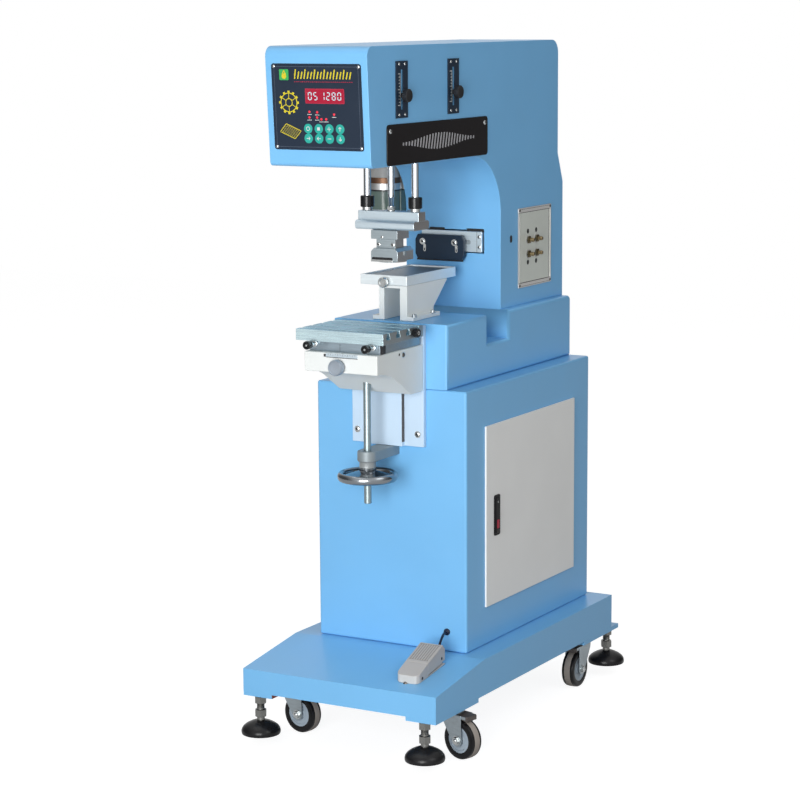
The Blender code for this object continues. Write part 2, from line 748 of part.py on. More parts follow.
def build_casters():
    """Swivel forks with brake levers, and wheels on their axles."""
    crown_top = PLATE_UNDERSIDE - CASTER_PLATE_THICKNESS - RACE_HEIGHT - SEAT_GAP
    inner = WHEEL_WIDTH / 2 + FORK_SIDE_GAP
    outer = inner + FORK_LEG_THICKNESS
    for name, (x, y) in caster_places().items():
        turn = Matrix.Rotation(math.radians(CASTER_TURNS[name]), 4, "Z")
        fork = round_bar("caster_fork_" + name, "Z", (0, 0), CROWN_RADIUS, (crown_top - CROWN_THICKNESS, crown_top))
        tools = []
        for side in (1, -1):
            reach = sorted((side * inner, side * outer))
            tools.append(prism("fork_leg", fork_leg_outline(), "Y", reach, cutter=True))
        head = outer + AXLE_HEAD_LENGTH
        axle_place = (CASTER_TRAIL, WHEEL_RADIUS)
        tools.append(round_bar("axle", "Y", axle_place, AXLE_RADIUS, (-head, head), sides=16, cutter=True))
        for side in (1, -1):
            reach = sorted((side * (outer - FORK_LEG_THICKNESS / 2), side * (head - AXLE_HEAD_INSET)))
            tools.append(round_bar("axle_head", "Y", axle_place, AXLE_HEAD_RADIUS, reach, sides=6, cutter=True))
        lever_top = crown_top - RUN_GAP
        tools.append(block(
            "brake_lever",
            (BRAKE_START, BRAKE_START + BRAKE_LENGTH),
            span(0, BRAKE_WIDTH),
            (lever_top - BRAKE_THICKNESS, lever_top),
            cutter=True,
        ))
        for tool in tools:
            tool.matrix_local = Matrix.Translation((x, y, 0)) @ turn
        fork.matrix_local = Matrix.Translation((x, y, 0)) @ turn
        fuse(fork, *tools)
        finish(fork, "zinc")

        half = WHEEL_WIDTH / 2
        bore = AXLE_RADIUS + RUN_GAP
        profile = [
            (bore, half - HUB_RECESS),
            (HUB_RADIUS, half - HUB_RECESS),
            (HUB_RADIUS + HUB_RECESS, half),
            (WHEEL_RADIUS - TYRE_ROUND, half),
            (WHEEL_RADIUS, half - TYRE_ROUND),
            (WHEEL_RADIUS, TYRE_ROUND - half),
            (WHEEL_RADIUS - TYRE_ROUND, -half),
            (HUB_RADIUS + HUB_RECESS, -half),
            (HUB_RADIUS, HUB_RECESS - half),
            (bore, HUB_RECESS - half),
        ]
        wheel = turned("caster_wheel_" + name, profile, (0, 0, 0), "Y", steps=28, ring=True)
        centre = Matrix.Translation((CASTER_TRAIL, 0, WHEEL_RADIUS)) @ AXIS_TURNS["Y"]
        wheel.matrix_local = Matrix.Translation((x, y, 0)) @ turn @ centre
        finish(wheel, "black_rubber")


def build_cabinet():
    """Sheet cabinet with a door opening in its right side, the door and its latch."""
    half = CABINET_HALF_WIDTH
    zs = (CABINET_BOTTOM, CABINET_TOP)
    cabinet = block("lower_cabinet", (-half, half), (0, CABINET_DEPTH), zs)
    wall = CABINET_WALL
    room = block(
        "cabinet_room",
        (wall - half, half - wall),
        (wall, CABINET_DEPTH - wall),
        (zs[0] + wall, zs[1] - wall),
        cutter=True,
    )
    sill = BASE_TOP + DOOR_SILL
    door_back = DOOR_FRONT_Y + DOOR_WIDTH
    opening = block(
        "door_opening",
        (half - wall - CUT_OVERRUN, half + CUT_OVERRUN),
        (DOOR_FRONT_Y + DOOR_LAP, door_back - DOOR_LAP),
        (sill + DOOR_LAP, sill + DOOR_HEIGHT - DOOR_LAP),
        cutter=True,
    )
    cut(cabinet, room, opening)
    finish(cabinet, "sky_blue_paint", smooth=False)

    door_inner = half + SEAT_GAP
    door_outer = door_inner + DOOR_THICKNESS
    door = block("cabinet_door", (door_inner, door_outer), (DOOR_FRONT_Y, door_back), (sill, sill + DOOR_HEIGHT))
    set_origin(door, (door_inner + DOOR_THICKNESS / 2, door_back, sill))
    finish(door, "light_grey_paint", smooth=False)

    latch_inner = door_outer + SEAT_GAP
    latch_front = DOOR_FRONT_Y + LATCH_INSET
    latch_bottom = sill + LATCH_RISE
    latch = block(
        "door_latch",
        (latch_inner, latch_inner + LATCH_THICKNESS),
        (latch_front, latch_front + LATCH_WIDTH),
        (latch_bottom, latch_bottom + LATCH_HEIGHT),
    )
    set_origin(latch, (latch_inner, latch_front + LATCH_WIDTH / 2, latch_bottom))
    finish(latch, "dark_plastic", smooth=False)


def mid_outline(inset, drop):
    """Return the mid body's side outline with its ledge, notch and rounded back."""
    top = MID_TOP - inset
    floor = MID_TOP - NOTCH_DEPTH - inset
    bottom = MID_BOTTOM - drop
    back = MID_DEPTH - inset
    return rounded([
        (inset, bottom, 0),
        (inset, top, 0),
        (LEDGE_DEPTH - inset, top, 0),
        (LEDGE_DEPTH - inset, floor, 0),
        (NECK_FRONT + inset, floor, 0),
        (NECK_FRONT + inset, top, 0),
        (back, top, MID_BACK_ROUND - inset),
        (back, bottom, 0),
    ])


def build_mid_body():
    """Casting between the cabinet and the neck, hollow from below, with the notch behind its ledge."""
    body = prism("mid_body", mid_outline(0, 0), "X", span(0, 2 * MID_HALF_WIDTH))
    room = prism("mid_room", mid_outline(MID_WALL, CUT_OVERRUN), "X", span(0, 2 * (MID_HALF_WIDTH - MID_WALL)), cutter=True)
    cut(body, room)
    finish(body, "sky_blue_paint")


def frame_outline():
    """Return the C-frame's outer side outline."""
    slope_top = HEAD_BOTTOM - NECK_SLOPE_TOP_DROP
    arc_front = MID_DEPTH - MID_BACK_ROUND
    arc_low = MID_TOP - MID_BACK_ROUND
    corners = [
        (NECK_FRONT, NECK_BOTTOM, 0),
        (NECK_FRONT, HEAD_BOTTOM, THROAT_FILLET),
        (-HEAD_REACH, HEAD_BOTTOM, HEAD_LOW_FRONT_ROUND),
        (-HEAD_REACH - HEAD_LEAN, HEAD_TOP, HEAD_TOP_FRONT_ROUND),
        (HEAD_BACK, HEAD_TOP, HEAD_TOP_BACK_ROUND),
        (HEAD_BACK, slope_top, 0),
        (NECK_BACK, slope_top - NECK_SLOPE_HEIGHT, 0),
    ]
    points = rounded(corners)
    radius = MID_BACK_ROUND + SEAT_GAP
    over = NECK_BACK - arc_front
    if over <= 0:
        return points + [(NECK_BACK, NECK_BOTTOM)]
    if over > radius:
        points.append((NECK_BACK, arc_low))
    start = math.acos(min(1, over / radius))
    turn = math.pi / 2 - start
    steps = arc_steps(MID_BACK_ROUND, turn)
    for step in range(steps + 1):
        angle = start + turn * step / steps
        points.append((arc_front + radius * math.cos(angle), arc_low + radius * math.sin(angle)))
    return points


def frame_room():
    """Return the outline of the C-frame's inside, which is open at the foot of the neck."""
    wall = FRAME_WALL
    slope_top = HEAD_BOTTOM - NECK_SLOPE_TOP_DROP
    lean = HEAD_LEAN * (HEAD_HEIGHT - 2 * wall) / HEAD_HEIGHT
    front = -HEAD_REACH + wall
    foot = MID_TOP - MID_BACK_ROUND - CUT_OVERRUN
    return rounded([
        (NECK_FRONT + wall, foot, 0),
        (NECK_FRONT + wall, HEAD_BOTTOM + wall, THROAT_FILLET + wall),
        (front, HEAD_BOTTOM + wall, 0),
        (front - lean, HEAD_TOP - wall, HEAD_TOP_FRONT_ROUND - wall),
        (HEAD_BACK - wall, HEAD_TOP - wall, HEAD_TOP_BACK_ROUND - wall),
        (HEAD_BACK - wall, slope_top, 0),
        (NECK_BACK - wall, slope_top - NECK_SLOPE_HEIGHT, 0),
        (NECK_BACK - wall, foot, 0),
    ])


def cover_spans():
    """Return the rear cover's half width, bottom and top."""
    bottom = MID_TOP + COVER_RISE
    return (COVER_HALF_WIDTH, bottom, bottom + COVER_HEIGHT)


def build_frame():
    """Hollow neck and head, with carriage rails, the rod slot, the blade slot and the rear hatch."""
    frame = prism("c_frame_shell", frame_outline(), "X", span(0, 2 * FRAME_HALF_WIDTH))
    room = prism("frame_room", frame_room(), "X", span(0, 2 * (FRAME_HALF_WIDTH - FRAME_WALL)), cutter=True)
    cut(frame, room)
    rail_low = HEAD_BOTTOM + RAIL_RISE
    wall_inner = FRAME_HALF_WIDTH - FRAME_WALL
    for side in (1, -1):
        xs = sorted((side * (wall_inner + JOIN_OVERLAP), side * (wall_inner - RAIL_REACH)))
        ys = (ROD_Y + CARRIAGE_DEPTH - RAIL_LENGTH, ROD_Y + CARRIAGE_DEPTH)
        fuse(frame, block("carriage_rail", xs, ys, (rail_low, rail_low + RAIL_THICKNESS), cutter=True))
    slot_half = ROD_SPACING + GUIDE_ROD_RADIUS + SLOT_CLEARANCE
    rod_slot = block(
        "rod_slot",
        (-slot_half, slot_half),
        (
            ROD_Y - CARRIAGE_STROKE - GUIDE_ROD_RADIUS - SLOT_CLEARANCE,
            ROD_Y + CARRIAGE_OVERTRAVEL + GUIDE_ROD_RADIUS + SLOT_CLEARANCE,
        ),
        (HEAD_BOTTOM - CUT_OVERRUN, HEAD_BOTTOM + FRAME_WALL + CUT_OVERRUN),
        cutter=True,
    )
    bar_slot_half = BAR_HALF_WIDTH + SLOT_CLEARANCE
    blade_slot = block(
        "blade_slot",
        (-bar_slot_half, bar_slot_half),
        (NECK_FRONT - CUT_OVERRUN, NECK_FRONT + FRAME_WALL + CUT_OVERRUN),
        (BAR_BOTTOM - SLOT_CLEARANCE, BAR_BOTTOM + BAR_HEIGHT + SLOT_CLEARANCE),
        cutter=True,
    )
    half, low, high = cover_spans()
    hatch = block(
        "rear_hatch",
        (COVER_LAP - half, half - COVER_LAP),
        (NECK_BACK - FRAME_WALL - CUT_OVERRUN, NECK_BACK + CUT_OVERRUN),
        (low + COVER_LAP, high - COVER_LAP),
        cutter=True,
    )
    vent_reach = (FRAME_HALF_WIDTH - FRAME_WALL - CUT_OVERRUN, FRAME_HALF_WIDTH + CUT_OVERRUN)
    vent = round_bar("vent_hole", "X", (VENT_Y, MID_TOP + VENT_RISE), VENT_RADIUS, vent_reach, sides=16, cutter=True)
    cut(frame, rod_slot, blade_slot, hatch, vent)
    finish(frame, "sky_blue_paint")

    cover_inner = NECK_BACK + SEAT_GAP
    cover = block("rear_cover", (-half, half), (cover_inner, cover_inner + COVER_THICKNESS), (low, high))
    finish(cover, "sky_blue_paint", smooth=False)


def build_carriage():
    """Carriage on the head's rails: block, lift cylinder, and the link down to the blade bar."""
    rail_top = HEAD_BOTTOM + RAIL_RISE + RAIL_THICKNESS
    rail_inner = FRAME_HALF_WIDTH - FRAME_WALL - RAIL_REACH
    ys = span(ROD_Y, CARRIAGE_DEPTH)
    low = HEAD_BOTTOM + CARRIAGE_DROP
    top = low + CARRIAGE_HEIGHT
    half = rail_inner - RUN_GAP
    carriage = block("head_carriage", (-half, half), ys, (low, top))
    flange_low = rail_top + SEAT_GAP
    flange_half = FRAME_HALF_WIDTH - FRAME_WALL - RUN_GAP
    flange = block(
        "carriage_flange", (-flange_half, flange_half), ys, (flange_low, flange_low + CARRIAGE_FLANGE_HEIGHT), cutter=True
    )
    cylinder_top = top + CYLINDER_HEIGHT
    cylinder = round_bar(
        "lift_cylinder", "Z", (0, ROD_Y), CYLINDER_RADIUS, (top - JOIN_OVERLAP, cylinder_top), cutter=True
    )
    leg_back = LINK_LEG_Y + LINK_LEG_DEPTH
    arm_low = top - LINK_HEIGHT
    arm = block("link_arm", span(0, 2 * LINK_HALF_WIDTH), (ys[1] - JOIN_OVERLAP, leg_back), (arm_low, top), cutter=True)
    leg = block(
        "link_leg",
        span(0, 2 * LINK_HALF_WIDTH),
        (LINK_LEG_Y, leg_back),
        (BAR_BOTTOM, arm_low + JOIN_OVERLAP),
        cutter=True,
    )
    fuse(carriage, flange, cylinder, arm, leg)
    for x in (-ROD_SPACING, ROD_SPACING):
        reach = (low - CUT_OVERRUN, top + CUT_OVERRUN)
        cut(carriage, round_bar("rod_bush", "Z", (x, ROD_Y), GUIDE_ROD_RADIUS + RUN_GAP, reach, sides=20, cutter=True))
    bore = (low - CUT_OVERRUN, cylinder_top + CUT_OVERRUN)
    cut(carriage, round_bar("piston_bore", "Z", (0, ROD_Y), PISTON_ROD_RADIUS + RUN_GAP, bore, sides=20, cutter=True))
    finish(carriage, "ground_steel")


def build_pad_head():
    """Guide rods, piston rod, collars, holder bar and the clamp that a printing pad hangs from."""
    rod_foot = HOLDER_TOP + SEAT_GAP
    rod_top = HEAD_BOTTOM + ROD_TOP_REACH
    for name, x in (("left", -ROD_SPACING), ("right", ROD_SPACING)):
        rod = round_bar("guide_rod_" + name, "Z", (x, ROD_Y), GUIDE_ROD_RADIUS, (rod_foot, rod_top), sides=20)
        finish(rod, "chrome")
        bore = GUIDE_ROD_RADIUS + SEAT_GAP
        profile = [
            (bore, WASHER_HEIGHT + COLLAR_HEIGHT),
            (COLLAR_RADIUS, WASHER_HEIGHT + COLLAR_HEIGHT),
            (COLLAR_RADIUS, WASHER_HEIGHT),
            (WASHER_RADIUS, WASHER_HEIGHT),
            (WASHER_RADIUS, 0),
            (bore, 0),
        ]
        collar = turned("rod_collar_" + name, profile, (x, ROD_Y, rod_foot), ring=True)
        finish(collar, "dark_plastic")
    length = rod_top - rod_foot
    profile = [
        (0, length),
        (PISTON_ROD_RADIUS, length),
        (PISTON_ROD_RADIUS, PISTON_THREAD_TOP),
        (PISTON_THREAD_RADIUS, PISTON_THREAD_TOP),
        (PISTON_THREAD_RADIUS, PISTON_NUT_HEIGHT),
        (PISTON_NUT_RADIUS, PISTON_NUT_HEIGHT),
        (PISTON_NUT_RADIUS, 0),
        (0, 0),
    ]
    piston = turned("piston_rod", profile, (0, ROD_Y, rod_foot), steps=20)
    finish(piston, "chrome")

    holder_middle = ROD_Y + HOLDER_BACK_OFFSET
    holder = block(
        "pad_holder_bar",
        span(0, 2 * HOLDER_HALF_WIDTH),
        span(holder_middle, HOLDER_DEPTH),
        (HOLDER_TOP - HOLDER_HEIGHT, HOLDER_TOP),
    )
    bar_top = HOLDER_TOP - HOLDER_HEIGHT + JOIN_OVERLAP
    bar_bottom = bar_top - RAIL_BAR_HEIGHT
    bar_front = holder_middle - RAIL_BAR_DEPTH / 2 + HOLDER_BACK_OFFSET
    bar_back = bar_front + RAIL_BAR_DEPTH
    rail_bar = prism(
        "rail_bar",
        rounded([
            (bar_front, bar_bottom, RAIL_BAR_ROUND),
            (bar_front, bar_top, RAIL_BAR_ROUND),
            (bar_back, bar_top, RAIL_BAR_ROUND),
            (bar_back, bar_bottom, RAIL_BAR_ROUND),
        ]),
        "X",
        span(0, 2 * RAIL_BAR_HALF_WIDTH),
        cutter=True,
    )
    fuse(holder, rail_bar)
    finish(holder, "aluminium")

    clamp_top = bar_bottom - SEAT_GAP
    clamp_bottom = clamp_top - CLAMP_HEIGHT
    clamp_ys = (-CLAMP_FRONT, CLAMP_DEPTH - CLAMP_FRONT)
    clamp = block("pad_clamp_block", span(0, 2 * CLAMP_HALF_WIDTH), clamp_ys, (clamp_bottom, clamp_top))
    shoe_top = clamp_bottom - CLAMP_NECK_HEIGHT
    neck = block(
        "clamp_neck",
        span(0, 2 * CLAMP_NECK_HALF_WIDTH),
        (clamp_ys[0] + SHOE_CHAMFER, clamp_ys[1] - SHOE_CHAMFER),
        (shoe_top - JOIN_OVERLAP, clamp_bottom + JOIN_OVERLAP),
        cutter=True,
    )
    shoe_low = shoe_top - SHOE_HEIGHT
    half = SHOE_HALF_WIDTH
    shoe = prism(
        "clamp_shoe",
        [
            (-half, shoe_low),
            (half, shoe_low),
            (half, shoe_top - SHOE_CHAMFER),
            (half - SHOE_CHAMFER, shoe_top),
            (SHOE_CHAMFER - half, shoe_top),
            (-half, shoe_top - SHOE_CHAMFER),
        ],
        "Y",
        (clamp_ys[0], clamp_ys[0] + SHOE_DEPTH),
        cutter=True,
    )
    disc_middle = clamp_ys[0] + SHOE_DEPTH / 2
    disc = round_bar(
        "shoe_disc",
        "Z",
        (0, disc_middle),
        SHOE_DISC_RADIUS,
        (shoe_low - SHOE_DISC_HEIGHT / 2, shoe_low + JOIN_OVERLAP),
        cutter=True,
    )
    fuse(clamp, neck, shoe, disc)
    finish(clamp, "aluminium")


def build_ink_unit():
    """Stand with two webs, the ink tray on it, the printing plate in the tray and its thumb screw."""
    foot_back = STAND_FRONT + STAND_FOOT_DEPTH
    top_back = STAND_FRONT + STAND_TOP_DEPTH
    bottom = MID_TOP + SEAT_GAP
    web_outline = [
        (STAND_FRONT, bottom),
        (foot_back, bottom),
        (foot_back, bottom + STAND_HEEL_HEIGHT),
        (top_back, STAND_TOP - STAND_TOP_PLATE / 2),
        (top_back, STAND_TOP),
        (STAND_FRONT, STAND_TOP),
    ]
    left_xs = (STAND_LEFT_X, STAND_LEFT_X + STAND_LEFT_WEB)
    right_xs = (STAND_RIGHT_X - STAND_RIGHT_WEB, STAND_RIGHT_X)
    stand = prism("ink_stand", web_outline, "X", left_xs)
    right_web = prism("right_web", web_outline, "X", right_xs, cutter=True)
    top_plate = block(
        "stand_top",
        (left_xs[1] - JOIN_OVERLAP, right_xs[0] + JOIN_OVERLAP),
        (STAND_FRONT, top_back),
        (STAND_TOP - STAND_TOP_PLATE, STAND_TOP),
        cutter=True,
    )
    flange_zs = (bottom, bottom + STAND_FLANGE_HEIGHT)
    left_flange = block(
        "left_flange",
        (left_xs[0] - STAND_FLANGE_WIDTH, left_xs[0] + JOIN_OVERLAP),
        (STAND_FRONT, foot_back),
        flange_zs,
        cutter=True,
    )
    right_flange = block(
        "right_flange",
        (right_xs[1] - JOIN_OVERLAP, right_xs[1] + STAND_FLANGE_WIDTH),
        (STAND_FRONT, foot_back),
        flange_zs,
        cutter=True,
    )
    fuse(stand, right_web, top_plate, left_flange, right_flange)
    finish(stand, "cream_paint", smooth=False)

    xs = (TRAY_LEFT_X, TRAY_LEFT_X + TRAY_WIDTH)
    ys = (TRAY_FRONT, TRAY_FRONT + TRAY_DEPTH)
    tray = block("ink_tray", xs, ys, (TRAY_BOTTOM, TRAY_BOTTOM + TRAY_HEIGHT))
    floor = TRAY_BOTTOM + TRAY_FLOOR
    well_xs = (xs[0] + TRAY_WALL, xs[1] - TRAY_WALL)
    well_ys = (ys[0] + TRAY_WALL, ys[1] - TRAY_WALL)
    well = block("tray_well", well_xs, well_ys, (floor, floor + TRAY_HEIGHT), cutter=True)
    cut(tray, well)
    finish(tray, "aluminium", smooth=False)

    plate_low = floor + SEAT_GAP
    plate = block(
        "cliche_plate",
        (well_xs[0] + SEAT_GAP, well_xs[1] - SEAT_GAP),
        (well_ys[0] + SEAT_GAP, well_ys[1] - SEAT_GAP),
        (plate_low, plate_low + PLATE_THICKNESS),
    )
    finish(plate, "ground_steel", smooth=False)

    screw_back = TRAY_FRONT - SEAT_GAP
    screw_z = STAND_TOP - PLATE_SCREW_DROP + PLATE_SCREW_RADIUS
    screw = round_bar(
        "plate_screw",
        "Y",
        (PLATE_SCREW_X, screw_z),
        PLATE_SCREW_RADIUS,
        (screw_back - PLATE_SCREW_LENGTH, screw_back),
        sides=20,
    )
    set_origin(screw, (PLATE_SCREW_X, screw_back, screw_z))
    finish(screw, "chrome")


def build_blade_unit():
    """Blade bar that leaves the neck through its slot, and the holder on its front."""
    top = BAR_BOTTOM + BAR_HEIGHT
    bar = block("blade_bar", (-BAR_HALF_WIDTH, BAR_HALF_WIDTH), (BAR_FRONT, BAR_FRONT + BAR_DEPTH), (BAR_BOTTOM, top))
    arm = block(
        "blade_arm",
        (-ARM_HALF_WIDTH, ARM_HALF_WIDTH),
        (BAR_FRONT + BAR_DEPTH - JOIN_OVERLAP, LINK_LEG_Y - SEAT_GAP),
        (BAR_BOTTOM + ARM_INSET, top - ARM_INSET),
        cutter=True,
    )
    fuse(bar, arm)
    finish(bar, "aluminium", smooth=False)

    low = BAR_BOTTOM - BLADE_HOLDER_DROP
    high = low + BLADE_HOLDER_HEIGHT
    left = BLADE_HOLDER_LEFT_X
    right = left + BLADE_HOLDER_WIDTH
    chamfer = BLADE_HOLDER_CHAMFER
    holder_back = BAR_FRONT - SEAT_GAP
    holder = prism(
        "blade_holder",
        [
            (left, low + chamfer),
            (left + chamfer / 2, low),
            (right - chamfer / 2, low),
            (right, low + chamfer),
            (right, high - chamfer),
            (right - chamfer / 2, high),
            (left + chamfer / 2, high),
            (left, high - chamfer),
        ],
        "Y",
        (holder_back - BLADE_HOLDER_DEPTH, holder_back),
    )
    finish(holder, "black_anodised", smooth=False)


def knee_outline():
    """Return the knee's side outline, with its curved underside."""
    back = -SLIDE_THICKNESS - SEAT_GAP - RUN_GAP
    toe = KNEE_TOP - KNEE_FRONT_HEIGHT
    low = KNEE_TOP - KNEE_BACK_HEIGHT
    return rounded([
        (-KNEE_FRONT, KNEE_TOP, 0),
        (back, KNEE_TOP, 0),
        (back, low, 0),
        (back - KNEE_WEB_LENGTH, low, KNEE_WEB_ROUND),
        (-KNEE_FRONT + KNEE_TOE_LENGTH, toe, KNEE_ROUND),
        (-KNEE_FRONT, toe, 0),
    ])


def build_table():
    """T-slot table, sub-plate, knee, column slide, lead screw, screw bracket, handwheel and knobs."""
    table_ys = (-TABLE_FRONT, TABLE_DEPTH - TABLE_FRONT)
    table = block("t_slot_table", span(0, 2 * TABLE_HALF_WIDTH), table_ys, (TABLE_BOTTOM, TABLE_TOP))
    middle = sum(table_ys) / 2
    through = (-TABLE_HALF_WIDTH - CUT_OVERRUN, TABLE_HALF_WIDTH + CUT_OVERRUN)
    neck_low = TABLE_TOP - T_SLOT_NECK
    for index in range(T_SLOT_COUNT):
        y = middle + (index - (T_SLOT_COUNT - 1) / 2) * T_SLOT_PITCH
        half_neck = T_SLOT_WIDTH / 2
        half_foot = T_SLOT_FOOT_WIDTH / 2
        slot = prism(
            "t_slot",
            [
                (y - half_neck, TABLE_TOP + CUT_OVERRUN),
                (y - half_neck, neck_low),
                (y - half_foot, neck_low),
                (y - half_foot, neck_low - T_SLOT_FOOT_HEIGHT),
                (y + half_foot, neck_low - T_SLOT_FOOT_HEIGHT),
                (y + half_foot, neck_low),
                (y + half_neck, neck_low),
                (y + half_neck, TABLE_TOP + CUT_OVERRUN),
            ],
            "X",
            through,
            cutter=True,
        )
        cut(table, slot)
    finish(table, "ground_steel", smooth=False)

    sub = block("table_sub_plate", span(0, 2 * SUB_HALF_WIDTH), (-SUB_FRONT, SUB_DEPTH - SUB_FRONT), (SUB_BOTTOM, SUB_TOP))
    rail_front = -SLIDE_THICKNESS - DOVETAIL_THICKNESS
    relief = block(
        "dovetail_relief",
        span(0, 2 * (DOVETAIL_HALF_WIDTH + RUN_GAP)),
        (rail_front - SUB_TRAVEL - RUN_GAP, 0),
        (SUB_BOTTOM - CUT_OVERRUN, SUB_TOP + CUT_OVERRUN),
        cutter=True,
    )
    cut(sub, relief)
    finish(sub, "ground_steel", smooth=False)

    knee = prism("knee_bracket", knee_outline(), "X", span(0, 2 * KNEE_HALF_WIDTH))
    groove = block(
        "dovetail_groove",
        span(0, 2 * (DOVETAIL_HALF_WIDTH + SEAT_GAP)),
        (rail_front - SEAT_GAP, 0),
        (KNEE_TOP - KNEE_BACK_HEIGHT - CUT_OVERRUN, KNEE_TOP + CUT_OVERRUN),
        cutter=True,
    )
    screw_top = KNEE_TOP - SCREW_SOCKET_DEPTH
    socket = round_bar(
        "screw_socket",
        "Z",
        (0, SCREW_Y),
        SCREW_RADIUS + SEAT_GAP,
        (KNEE_TOP - KNEE_BACK_HEIGHT - CUT_OVERRUN, screw_top + SEAT_GAP),
        cutter=True,
    )
    cut(knee, groove, socket)
    finish(knee, "cream_paint")

    plate_back = -SEAT_GAP
    slide = block(
        "slide_plate",
        span(0, 2 * SLIDE_HALF_WIDTH),
        (-SLIDE_THICKNESS, plate_back),
        (SLIDE_BOTTOM, SLIDE_BOTTOM + SLIDE_HEIGHT),
    )
    rail = block(
        "dovetail_rail",
        span(0, 2 * DOVETAIL_HALF_WIDTH),
        (rail_front, JOIN_OVERLAP - SLIDE_THICKNESS),
        (SLIDE_BOTTOM, SLIDE_BOTTOM + SLIDE_HEIGHT),
        cutter=True,
    )
    fuse(slide, rail)
    finish(slide, "light_grey_paint", smooth=False)

    screw_low = BRACKET_BOTTOM - WHEEL_HUB_HEIGHT - SCREW_STUB
    screw = round_bar("lead_screw", "Z", (0, SCREW_Y), SCREW_RADIUS, (screw_low, screw_top))
    set_origin(screw, (0, SCREW_Y, screw_low))
    finish(screw, "ground_steel")

    hub_profile = [
        (0, BRACKET_TOP),
        (BRACKET_HUB_RADIUS, BRACKET_TOP),
        (BRACKET_HUB_RADIUS, BRACKET_BOTTOM + BRACKET_NECK_HEIGHT),
        (BRACKET_NECK_RADIUS, BRACKET_BOTTOM + BRACKET_NECK_HEIGHT - BRACKET_NECK_FLARE),
        (BRACKET_NECK_RADIUS, BRACKET_BOTTOM),
        (0, BRACKET_BOTTOM),
    ]
    bracket = turned("screw_bracket", hub_profile, (0, SCREW_Y, 0))
    arm = block(
        "bracket_arm",
        span(0, 2 * BRACKET_HUB_RADIUS),
        (SCREW_Y, plate_back),
        (BRACKET_TOP - BRACKET_HEIGHT, BRACKET_TOP),
        cutter=True,
    )
    bore_radius = SCREW_RADIUS + SEAT_GAP
    bore_reach = (BRACKET_BOTTOM - CUT_OVERRUN, BRACKET_TOP + CUT_OVERRUN)
    bore = round_bar("bracket_bore", "Z", (0, SCREW_Y), bore_radius, bore_reach, cutter=True)
    fuse(bracket, arm)
    cut(bracket, bore)
    finish(bracket, "ground_steel")
    build_handwheel(bore_radius)
    build_table_knobs()


def build_handwheel(bore_radius):
    """Chromed handwheel: hub under the bracket, dished web and round rim."""
    hub_top = BRACKET_BOTTOM - SEAT_GAP
    place = (0, SCREW_Y, hub_top)
    hub_profile = [
        (bore_radius, 0),
        (WHEEL_HUB_RADIUS, 0),
        (WHEEL_HUB_RADIUS, -WHEEL_HUB_HEIGHT),
        (bore_radius, -WHEEL_HUB_HEIGHT),
    ]
    wheel = turned("handwheel", hub_profile, place, ring=True, steps=32)
    rim_profile = []
    for step in range(WHEEL_RIM_SIDES):
        angle = -2 * math.pi * step / WHEEL_RIM_SIDES
        rim_profile.append((
            WHEEL_RIM_RADIUS + WHEEL_RIM_THICKNESS / 2 * math.cos(angle),
            WHEEL_RIM_THICKNESS / 2 * math.sin(angle) - WHEEL_RIM_DROP,
        ))
    rim = turned("handwheel_rim", rim_profile, place, ring=True, steps=32, cutter=True)
    web_profile = [
        (WHEEL_HUB_RADIUS - JOIN_OVERLAP, -WHEEL_WEB_DROP),
        (WHEEL_RIM_RADIUS, -WHEEL_RIM_DROP + WHEEL_WEB_THICKNESS / 2),
        (WHEEL_RIM_RADIUS, -WHEEL_RIM_DROP - WHEEL_WEB_THICKNESS / 2),
        (WHEEL_HUB_RADIUS - JOIN_OVERLAP, -WHEEL_WEB_DROP - WHEEL_WEB_THICKNESS),
    ]
    web = turned("handwheel_web", web_profile, place, ring=True, steps=32, cutter=True)
    fuse(wheel, rim, web)
    finish(wheel, "chrome")


def knob_on_stem(name, axis, centre, radius, knob, stem, finish_name):
    """Return a knob with its stem; knob and stem are spans along the axis."""
    item = round_bar(name, axis, centre, radius, knob, sides=20)
    fuse(item, round_bar(name + "_stem", axis, centre, KNOB_STEM_RADIUS, stem, sides=12, cutter=True))
    finish(item, finish_name)
    return item


def build_table_knobs():
    """Two front knobs and a side knob for the cross slides, and the lock knob on the knee."""
    knob_z = (SUB_BOTTOM + SUB_TOP) / 2 + FRONT_KNOB_LIFT
    seat = -SUB_FRONT - SEAT_GAP
    knob_back = seat - FRONT_KNOB_STEM
    for name, x in (("left", -FRONT_KNOB_X), ("right", FRONT_KNOB_X)):
        item = knob_on_stem(
            "table_knob_" + name,
            "Y",
            (x, knob_z),
            FRONT_KNOB_RADIUS,
            (knob_back - FRONT_KNOB_LENGTH, knob_back),
            (knob_back - JOIN_OVERLAP, seat),
            "dark_plastic",
        )
        set_origin(item, (x, seat, knob_z))
    side_z = (TABLE_BOTTOM + TABLE_TOP) / 2
    side_seat = TABLE_HALF_WIDTH + SEAT_GAP
    side = round_bar(
        "table_side_knob",
        "X",
        (SIDE_KNOB_Y, side_z),
        SIDE_KNOB_RADIUS,
        (side_seat, side_seat + SIDE_KNOB_LENGTH),
        sides=20,
    )
    set_origin(side, (side_seat, SIDE_KNOB_Y, side_z))
    finish(side, "dark_plastic")
    lock_z = KNEE_TOP - LOCK_KNOB_DROP
    lock_seat = -KNEE_FRONT - SEAT_GAP
    lock = round_bar(
        "lock_knob",
        "Y",
        (LOCK_KNOB_X, lock_z),
        LOCK_KNOB_RADIUS,
        (lock_seat - LOCK_KNOB_LENGTH, lock_seat),
    )
    set_origin(lock, (LOCK_KNOB_X, lock_seat, lock_z))
    finish(lock, "aluminium")


